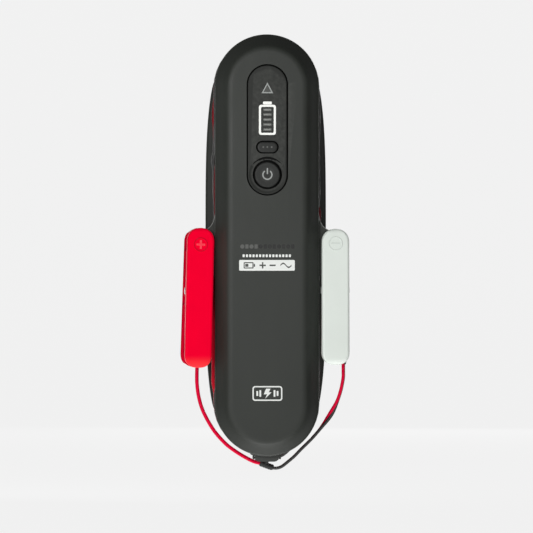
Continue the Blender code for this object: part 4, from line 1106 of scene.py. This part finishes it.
def clamp_place(clamp):
    lean = Matrix.Rotation(radians(clamp.lean), 4, "Y")
    turn = Matrix.Rotation(radians(clamp.turn), 4, "Z")
    return Matrix.Translation(Vector((clamp.x, CLAMP_Y, clamp.z)) * MM) @ lean @ turn


def put_on_clamp(name, obj, material, *nodes, part=""):
    obj.data.transform(clamp_place(CLAMPS[name]))
    put(obj, material, *nodes, body=name + part)


def lever_faces(clamp, z):
    """Distances of the lever's inner and outer faces from the clamp's mid plane."""
    inner = 1.3 if z >= 0 else 1.3 + max(0.0, -z - 4) * tan(HANDLE_SPREAD)
    outer = 12.4 - LEVER_SLOPE * z
    for near, radius in ((clamp.top - z, 2.8), (z - clamp.bottom, 4.6)):
        if near < radius:
            share = (radius - max(near, 0.0)) / radius
            outer -= radius * 0.8 * (1 - sqrt(max(0.0, 1 - share ** 2)))
    return inner, max(outer, inner + 2.2)


def lever_sections(clamp, half_w, face, margin=0.0):
    """Rings up a lever; face is -1 in front and 1 behind, margin shrinks it for hollowing."""
    width = half_w - margin
    turns = [radians(d) for d in (6, 11, 17, 24, 32, 40, 48, 56, 64, 72, 80, 86, 90)]
    low, high = clamp.bottom + margin * 1.6, clamp.top - margin

    def end(power):
        return [(width * (1 - cos(a) ** (2 / power)), width * sin(a) ** (2 / power))
                for a in turns]

    foot, head = end(2.45), end(2.2)
    stations = [(low + reach, half) for reach, half in foot]
    count = 40
    z0, z1 = stations[-1][0], high - head[-1][0]
    stations += [(z0 + (z1 - z0) * i / count, width) for i in range(1, count)]
    stations += [(high - reach, half) for reach, half in reversed(head)]
    rings = []
    for z, half in stations:
        inner, outer = lever_faces(clamp, z)
        if margin:
            inner, outer = inner - 4, outer - margin
        corner = min(1.9, half * 0.75, (outer - inner) * 0.55)
        section = [(-half, inner)]
        for i in range(9):
            a = radians(90 * i / 8)
            section.append((-half + corner - corner * cos(a), outer - corner + corner * sin(a)))
        section += [(-x, y) for x, y in reversed(section)]
        rings.append([(x, face * y, z) for x, y in section])
    return rings


def round_lug(x0, x1, face, base_y, base_half):
    """A lug with a round nose about the pivot, between x0 and x1."""
    turns = [pi * i / 16 for i in range(17)]
    nose = [(-face * LUG_R * sin(a), -LUG_R * cos(a)) for a in turns]
    outline = [(base_y, -base_half)] + nose + [(base_y, base_half)]
    return prism("lug", outline, x0, x1, "X")


def lever_lugs(lever, face, half_w):
    """The front lever's lugs, or the rear lever's reliefs with lugs inside them."""
    for side in (-1, 1):
        if face < 0:
            x0, x1 = sorted((side * (half_w - LEVER_WALL), side * half_w))
            join(lever, round_lug(x0 + 0.05, x1 - 0.05, face, -8.5, LUG_R))
            continue
        x0, x1 = sorted((side * (half_w - LEVER_WALL), side * (half_w + 3)))
        relief = block("relief", (x0 - (0.3 if side > 0 else 0), -3, -9.5),
                       (x1 + (0.3 if side < 0 else 0), 9.6, 9.5))
        cut(lever, bevel(relief, 2.4, 5))
        x0, x1 = sorted((side * (half_w - 4.0), side * (half_w - 2.25)))
        join(lever, round_lug(x0, x1, face, 10.6, 6.0))


def levers(name, clamp, front_material, rear_material):
    for face, part, half_w, material in (
        (-1, "_front", clamp.half_w, front_material),
        (1, "_rear", clamp.half_w + clamp.rear_extra, rear_material),
    ):
        lever = loft(name + part + "_shell", lever_sections(clamp, half_w, face))
        cut(lever, loft("hollow", lever_sections(clamp, half_w, face, LEVER_WALL)))
        cut(lever, rod("mouth", (-15, 0, MOUTH_Z), (15, 0, MOUTH_Z), 4.7, 48))
        lever_lugs(lever, face, clamp.half_w)
        cut(lever, rod("bore", (-15, 0, 0), (15, 0, 0), 1.9))
        if face > 0:
            low, high = clamp.bottom - 6, clamp.bottom + 9
            x = clamp.lead_x
            cut(lever, rod("lead_bore", (x, LEAD_Y, low), (x, LEAD_Y, high), 2.6))
        bevel(lever, 0.22, 2, 60)
        if face > 0 and name == "positive_clamp":
            # this rear lever stands a little proud on the outer side
            for vertex in lever.data.vertices:
                vertex.co.x -= 0.8 * MM * ease((-vertex.co.x / MM - 7.3) / 0.5)
        put_on_clamp(name, smooth(lever, 34), material, name + part + "_lever",
                     part="_front_lever" if face < 0 else "")


def finger_ridges(name, clamp, material):
    """Ridges across the rear lever's handle."""
    for i in range(6):
        z = clamp.bottom + 12.5 + i * 3.6
        y = lever_faces(clamp, z)[1] - 0.1
        width = clamp.half_w - 3.6 - abs(i - 2.5) * 0.3
        line = [(width * (-1 + j / 6), y, z) for j in range(13)]
        put_on_clamp(name, wire(f"{name}_ridge_{i + 1}", line, 0.45, 5), material)


def polarity_mark(name, clamp, ring_material, sign_material):
    """A raised ring with a plus or a minus on the front lever."""
    outer = lever_faces(clamp, MOUTH_Z)[1]

    def mount(obj, width, material):
        bevel(obj, width, 2)
        for vertex in obj.data.vertices:
            vertex.co.y += LEVER_SLOPE * (vertex.co.z - MOUTH_Z * MM)
        put_on_clamp(name, smooth(obj), material, part="_front_lever")

    ring = outline_ring(f"{name}_mark_ring", circle(4.95, 56, cz=MOUTH_Z),
                        circle(4.2, 56, cz=MOUTH_Z), -outer - 0.3, -outer + 0.5)
    mount(ring, 0.14, ring_material)
    minus = rounded_box(3.0, 0.62, 0.15, 3, cz=MOUTH_Z)
    shape = cross(2.0, 0, MOUTH_Z) if name == "positive_clamp" else minus
    sign = prism(f"{name}_mark_sign", shape, -outer - 0.34, -outer + 0.5)
    mount(sign, 0.12, sign_material)


def spring(name):
    coil = [(-4.4, -5.0, -15.0), (-4.4, -4.6, -11.0), (-4.4, -4.0, -7.0)]
    turns, per = 4, 24
    for i in range(turns * per + 1):
        a = pi + 2 * pi * i / per
        coil.append((-4.4 + 8.8 * i / (turns * per), 3.5 * cos(a), -3.5 * sin(a)))
    coil += [(4.4, -1.5, -4.6), (4.4, 2.2, -6.2), (4.4, 6.0, -9.0), (4.4, 8.9, -15.0)]
    path = smooth_path(coil, 2)
    put_on_clamp(name, wire(name + "_coil", path, 0.5, 3), STEEL, name + "_spring")


def pivot_pin(name, half_w):
    """A pin with a flat head at either end."""
    head = [(1.6, half_w), (2.4, half_w + 0.05), (2.4, half_w + 0.35), (1.9, half_w + 0.6),
            (0, half_w + 0.6)]
    profile = [(radius, -height) for radius, height in reversed(head)] + head
    pin = turned(name + "_pin", profile, (0, 0, 0), (1, 0, 0), 40)
    put_on_clamp(name, smooth(pin, 35), STEEL, name + "_pivot_pin")


def lead_boot(name, clamp):
    """A ribbed boot, almost all of it inside the handle."""
    profile = [(0, 17.0), (1.9, 17.0), (1.9, 6.9), (2.2, 6.7)]
    for i in range(2):
        h = 6.2 - i * 0.9
        wide, narrow = 2.15 - 0.15 * i, 1.85 - 0.15 * i
        profile += [(wide, h + 0.22), (wide, h - 0.18), (narrow, h - 0.3), (narrow, h - 0.5)]
    profile += [(1.4, 4.3), (0, 4.3)]
    at = (clamp.lead_x, LEAD_Y, clamp.bottom - 4.6)
    boot = turned(name + "_boot", profile, at, (0, 0, 1), 40)
    put_on_clamp(name, smooth(boot, 40), RUBBER, name + "_lead_boot")


def build_clamp(name):
    """Builds a clamp and returns the last three points of its lead."""
    clamp = CLAMPS[name]
    front, rear_material, ring, sign = CLAMP_MATERIALS[name]
    levers(name, clamp, front, rear_material)
    finger_ridges(name, clamp, front)
    polarity_mark(name, clamp, ring, sign)
    spring(name)
    pivot_pin(name, clamp.half_w)
    lead_boot(name, clamp)
    heights = (clamp.bottom - 5.0, clamp.bottom - 0.5, clamp.bottom + 3.0)
    points = [Vector((clamp.lead_x, LEAD_Y, z)) * MM for z in heights]
    return [tuple((clamp_place(clamp) @ point) / MM) for point in points]


positive_end = build_clamp("positive_clamp")
negative_end = build_clamp("negative_clamp")

# ------------------------------------------------------------------ leads
POSITIVE_PATH = [
    (-2.4, -25.0, -152.2), (-4.6, -25.0, -151.7), (-9.4, -25.0, -150.3),
    (-15.9, -25.4, -146.9), (-22.9, -26.2, -142.4), (-28.6, -26.9, -137.8),
    (-35.6, -27.5, -130.0), (-41.0, -28.0, -121.4), (-44.9, -28.5, -113.0),
    (-47.2, -28.9, -104.5), (-48.2, -29.2, -96.5),
]
NEGATIVE_PATH = [
    (2.0, -25.0, -154.0), (4.2, -25.0, -155.0), (7.6, -25.0, -155.2), (11.0, -25.0, -154.0),
    (14.9, -25.1, -151.0), (19.7, -25.6, -146.9), (24.0, -26.0, -142.4), (32.2, -26.8, -134.2),
    (39.2, -27.6, -125.8), (45.0, -28.3, -117.4), (49.2, -28.8, -109.1),
    (52.0, -29.1, -100.7), (53.6, -29.3, -92.4),
]


def strands(points, offset, roll):
    """Two paths side by side along the points, turned by roll(share) degrees."""
    first, second = [], []
    last = len(points) - 1
    for i, point in enumerate(points):
        ahead, behind = Vector(points[min(i + 1, last)]), Vector(points[max(i - 1, 0)])
        along = (ahead - behind).normalized()
        side = along.cross(Vector((0, 1, 0))).normalized()
        back = side.cross(along).normalized()
        turn = radians(roll(i / last))
        shift = (side * cos(turn) + back * sin(turn)) * offset
        first.append(tuple(Vector(point) + shift))
        second.append(tuple(Vector(point) - shift))
    return first, second


path = smooth_path(POSITIVE_PATH + positive_end, 8)
put_between(wire("positive_lead_wire", path, 1.3), RED_LEAD, ("housing", "positive_clamp"),
            metres((-12.0, -25.0, -148.0)), metres(positive_end[1]), "positive_lead")
# the negative lead's strands lie one behind the other and change places half way
path = smooth_path(NEGATIVE_PATH + negative_end, 8)
red_strand, black_strand = strands(path, 0.86, lambda share: 92 - 170 * ease((share - 0.5) / 0.19))
for name, strand, material, nodes in (
    ("negative_lead_black", black_strand, BLACK_JACKET, ("negative_lead",)),
    ("negative_lead_red", red_strand, RED_LEAD, ()),
):
    put_between(wire(name, strand, 1.12, 5), material, ("housing", "negative_clamp"),
                metres((14.0, -25.0, -150.0)), metres(negative_end[1]), *nodes)

# ------------------------------------------------------------------ cable keeper
FLAP_OUT_R, FLAP_IN_R = 39.15, 38.25
# y, growth of the section
FLAP_STATIONS = ((-42.6, -0.2), (-42.2, 0.0), (-36.0, 0.0), (-31.2, 0.0), (-30.6, -0.15),
                 (-30.4, -0.4))
sweep = [radians(270 + 11.8 * i / 12) for i in range(-12, 13)]
rings = []
for y, grow in FLAP_STATIONS:
    arcs = ((FLAP_OUT_R + grow, sweep), (FLAP_IN_R - grow, sweep[::-1]))
    rings.append([(radius * cos(a), y, -STRAIGHT + radius * sin(a))
                  for radius, angles in arcs for a in angles])
flap = loft("keeper_flap", rings)
barrel_ends = [(side * KEEPER_HALF_W, KEEPER_Y, KEEPER_Z) for side in (-1, 1)]
join(flap, rod("barrel", *barrel_ends, 1.35))
# the front lip closes the gap under the cover's edge
lip_x = [8.2 - 16.4 * i / 16 for i in range(17)]
lip = [(x, -STRAIGHT - sqrt(35.95 ** 2 - x ** 2)) for x in lip_x]
lip += [(-8.2, -147.6), (-7.8, -148.9), (-6.6, -149.8), (-5.2, -150.1), (5.2, -150.1),
        (6.6, -149.8), (7.8, -148.9), (8.2, -147.6)]
join(flap, prism("lip", lip, -44.5, -42.1))
cut(flap, rod("barrel_bore", (-14, KEEPER_Y, KEEPER_Z), (14, KEEPER_Y, KEEPER_Z), 0.8, 20))
bevel(flap, 0.25, 3, 50)
put(smooth(flap, 35), KEEPER, "cable_keeper", body="cable_keeper")
for i in range(4):
    rib_x = [-6.4 + 12.8 * j / 10 for j in range(11)]
    y = -40.2 + i * 2.6
    line = [(x, y, -STRAIGHT - sqrt(FLAP_OUT_R ** 2 - x ** 2)) for x in rib_x]
    put(wire(f"keeper_rib_{i + 1}", line, 0.28, 3), KEEPER, body="cable_keeper")

# ------------------------------------------------------------------ mains plug
# depth from the plug's mid plane, scale of the outline
PLUG_STATIONS = ((-6.8, 0.86), (-6.5, 0.93), (-5.8, 0.98), (-5.0, 1.0), (0, 1.0), (5.0, 1.0),
                 (5.8, 0.98), (6.5, 0.93), (6.8, 0.86))
rings = []
for depth, scale in PLUG_STATIONS:
    ring = []
    for x, z in rounded_box(17.0, 16.6, 4.0):
        narrow = 1.0 - 0.42 * ease((-z - 4) / 13)
        flat = 1.0 - 0.25 * ease((-z - 2) / 14)
        ring.append((x * narrow * scale, PLUG_Y + depth * flat,
                     PLUG_Z + z * (0.97 if scale < 0.9 else 1.0)))
    rings.append(ring)
plug = loft("plug_shell", rings)
profile = [(3.6, 10.8), (3.6, 7.0)]
for i in range(3):
    h = 5.6 - i * 1.9
    wide, narrow = 3.6 - 0.25 * i, 3.0 - 0.2 * i
    profile += [(wide, h + 0.5), (wide, h - 0.4), (narrow, h - 0.6), (narrow, h - 1.1)]
profile.append((2.75, 0.0))
neck = turned("plug_neck", profile, (0, PLUG_Y, PLUG_Z - 22.8), (0, 0, 1), 40)
for x in (-9.5, 9.5):
    cut(plug, rod("pin_bore", (x, PLUG_Y, PLUG_Z + 8), (x, PLUG_Y, PLUG_Z + 20), 2.2, 28))
bevel(plug, 0.25, 2, 50)
put(smooth(plug, 40), RUBBER, "plug_body", body="mains_plug")
put(smooth(neck, 40), RUBBER, body="mains_plug")
for side, word in ((-1, "left"), (1, "right")):
    for i in range(5):
        x, z = side * 16.6, PLUG_Z - 1.5 + i * 3.0
        low, high = (x - 0.7, PLUG_Y - 4.2, z - 0.6), (x + 0.7, PLUG_Y + 4.2, z + 0.6)
        grip = soft_block(f"plug_grip_{word}_{i + 1}", low, high, 0.4, 2)
        put(grip, RUBBER, body="mains_plug")

# ------------------------------------------------------------------ screws
# pan heads with a cross recess, and threaded shanks: radius, height from the head's seat
SCREW_Y = -4.8
HEAD = [(1.5, 0.0), (2.7, 0.0), (2.7, 0.9), (2.5, 1.6), (2.0, 2.05), (1.2, 2.3), (0, 2.38)]
THREAD = [(1.5 if i % 2 else 1.22, -45.2 + i * 0.55) for i in range(40)]
SHANK = [(0.3, -47.5), (1.3, -45.5)] + THREAD + [(1.4, -22.0), (1.4, 0.0)]
for i, (x, z) in enumerate(SCREWS, 1):
    head = turned(f"screw_head_{i}", HEAD, (x, SCREW_Y, z), (0, 1, 0), 40)
    for w, h in ((0.32, 1.5), (1.5, 0.32)):
        cut(head, block("cross_slot", (x - w, -3.5, z - h), (x + w, -1, z + h)))
    bevel(head, 0.06, 1, 50)
    put(smooth(head, 40), STEEL)
    shank = turned(f"screw_shank_{i}", SHANK, (x, SCREW_Y, z), (0, 1, 0), 20)
    put(smooth(shank, 40), STEEL, f"case_screw_{i}")

# ------------------------------------------------------------------ CAD nodes kept in shape
# node, material, bevel width
for name, material, width in (
    ("spool_frame", DARK, 0.3),
    ("front_seal", RUBBER, 0.2),
    ("rear_seal", RUBBER, 0.2),
    ("ui_board", GREEN, 0.15),
    ("main_board", GREEN, 0.15),
    ("power_switch", DARK, 0.15),
    ("set_switch", DARK, 0.15),
    ("indicator_leds", WHITE, 0.1),
    ("transformer_core", FERRITE, 0.4),
    ("transformer_winding", TAPE, 0.6),
    ("bulk_capacitor", SLEEVE, 0.1),
    ("output_inductor", WIRE_COPPER, 0.0),
    ("heatsink", ALUMINIUM, 0.15),
    ("mains_fuse", GLASS, 0.1),
    ("plug_pin_1", NICKEL, 0.1),
    ("plug_pin_2", NICKEL, 0.1),
    ("keeper_pin", STEEL, 0.05),
):
    refine(name, material, width)
for name in CLAMPS:
    refine(name + "_front_jaw", COPPER, 0.12)
    refine(name + "_rear_jaw", COPPER, 0.12)

# ------------------------------------------------------------------ floor (metres from here on)
FLOOR_Z = -0.1565
FLOOR_R, CURVE_R = 4.6, 1.4  # the flat part, and the curve that turns up into the wall
FLOOR_STEPS = 96


def studio_floor():
    """A wide bowl that gives off an even light of its own."""
    bowl = [(0.001, 0.0), (1.2, 0.0), (FLOOR_R, 0.0)]
    for i in range(1, 12):
        turn = radians(8 * i)
        bowl.append((FLOOR_R + CURVE_R * sin(turn), CURVE_R - CURVE_R * cos(turn)))
    bowl.append((6.0, 5.0))
    turns = [2 * pi * i / FLOOR_STEPS for i in range(FLOOR_STEPS)]
    points = [(radius * cos(a), radius * sin(a), FLOOR_Z + h) for radius, h in bowl for a in turns]
    faces = []
    for i in range(len(bowl) - 1):
        a, b = i * FLOOR_STEPS, (i + 1) * FLOOR_STEPS
        for j in range(FLOOR_STEPS):
            k = (j + 1) % FLOOR_STEPS
            faces.append((a + j, a + k, b + k, b + j))
    data = bpy.data.meshes.new("studio_floor")
    data.from_pydata(points, [], faces)
    floor = new_object("studio_floor", data)
    data.shade_smooth()
    data.materials.append(floor_material())
    floor.visible_diffuse = floor.visible_glossy = floor.visible_shadow = False


def floor_material():
    material = bpy.data.materials.new("studio_floor")
    material.use_nodes = True
    nodes, links = material.node_tree.nodes, material.node_tree.links
    nodes.remove(nodes["Principled BSDF"])
    glow = nodes.new("ShaderNodeEmission")
    glow.inputs["Color"].default_value = (0.887, 0.887, 0.887, 1)
    glow.inputs["Strength"].default_value = 0.978
    diffuse = nodes.new("ShaderNodeBsdfDiffuse")
    diffuse.inputs["Color"].default_value = (0.035, 0.035, 0.035, 1)
    add = nodes.new("ShaderNodeAddShader")
    links.new(glow.outputs[0], add.inputs[0])
    links.new(diffuse.outputs[0], add.inputs[1])
    links.new(add.outputs[0], nodes["Material Output"].inputs["Surface"])
    return material


studio_floor()


# ------------------------------------------------------------------ light
def glow_towards(graph, direction, between, to):
    """Strength that eases in as the view nears a direction; between is in cosines."""
    sockets = {0: graph.coords, 1: direction.normalized()}
    facing = graph.node("ShaderNodeVectorMath", sockets, operation="DOT_PRODUCT")
    return graph.spread(facing.outputs["Value"], between, to, eased=True)


world = bpy.data.worlds.new("soft_studio")
bpy.context.scene.world = world
graph = Graph(world, shader="Background", coords="Generated")
front_glow = glow_towards(
    graph, Vector((-0.24, -1.0, -0.44)), between=(0.15, 0.98), to=(0.10, 1.03))
back_glow = glow_towards(
    graph, Vector((0.0, 1.0, -0.35)), between=(0.45, 1.0), to=(0.0, 0.75))
graph.feed("Strength", graph.math("ADD", front_glow, back_glow))
graph.feed("Color", (1, 1, 1))


def aim(obj, target):
    obj.rotation_euler = (Vector(target) - obj.location).to_track_quat("-Z", "Y").to_euler()


def softbox(name, at, target, size, power):
    light = bpy.data.lights.new(name, "AREA")
    light.shape = "RECTANGLE"
    light.size, light.size_y = size
    light.energy = power
    obj = new_object(name, light)
    obj.location = at
    aim(obj, target)
    obj.visible_camera = False


softbox("key_left", at=(-0.20, -0.50, 0.08), target=(-0.03, -0.05, 0.06), size=(0.2, 0.25),
        power=1.0)
softbox("rim_left", at=(-0.55, 0.85, -0.06), target=(0, -0.03, -0.02), size=(0.25, 0.4),
        power=0.5)
softbox("rim_right", at=(0.55, 0.85, -0.06), target=(0, -0.03, -0.02), size=(0.25, 0.4),
        power=0.55)
softbox("back", at=(0.12, 0.9, 0.16), target=(0, 0, 0), size=(0.5, 0.5), power=2.6)
softbox("low", at=(0.0, -0.12, -0.66), target=(0, -0.05, -0.13), size=(0.5, 0.3), power=2.2)

# ------------------------------------------------------------------ camera
CAMERA_DISTANCE = 3.69
CAMERA_AZIMUTH = radians(-1.35)  # a little to the left of straight on
CAMERA_TARGET = Vector((-0.000621, FRONT_Y * MM, -0.014697))
camera_data = bpy.data.cameras.new("camera")
camera_data.lens, camera_data.sensor_width = 361.2, 36.0
camera_data.clip_start, camera_data.clip_end = 0.05, 20
camera = new_object("camera", camera_data)
away = Vector((sin(CAMERA_AZIMUTH), -cos(CAMERA_AZIMUTH), 0))
camera.location = CAMERA_TARGET + CAMERA_DISTANCE * away
aim(camera, CAMERA_TARGET)
bpy.context.scene.camera = camera
bpy.context.scene.view_settings.view_transform = "Standard"
bpy.context.scene.view_settings.look = "None"
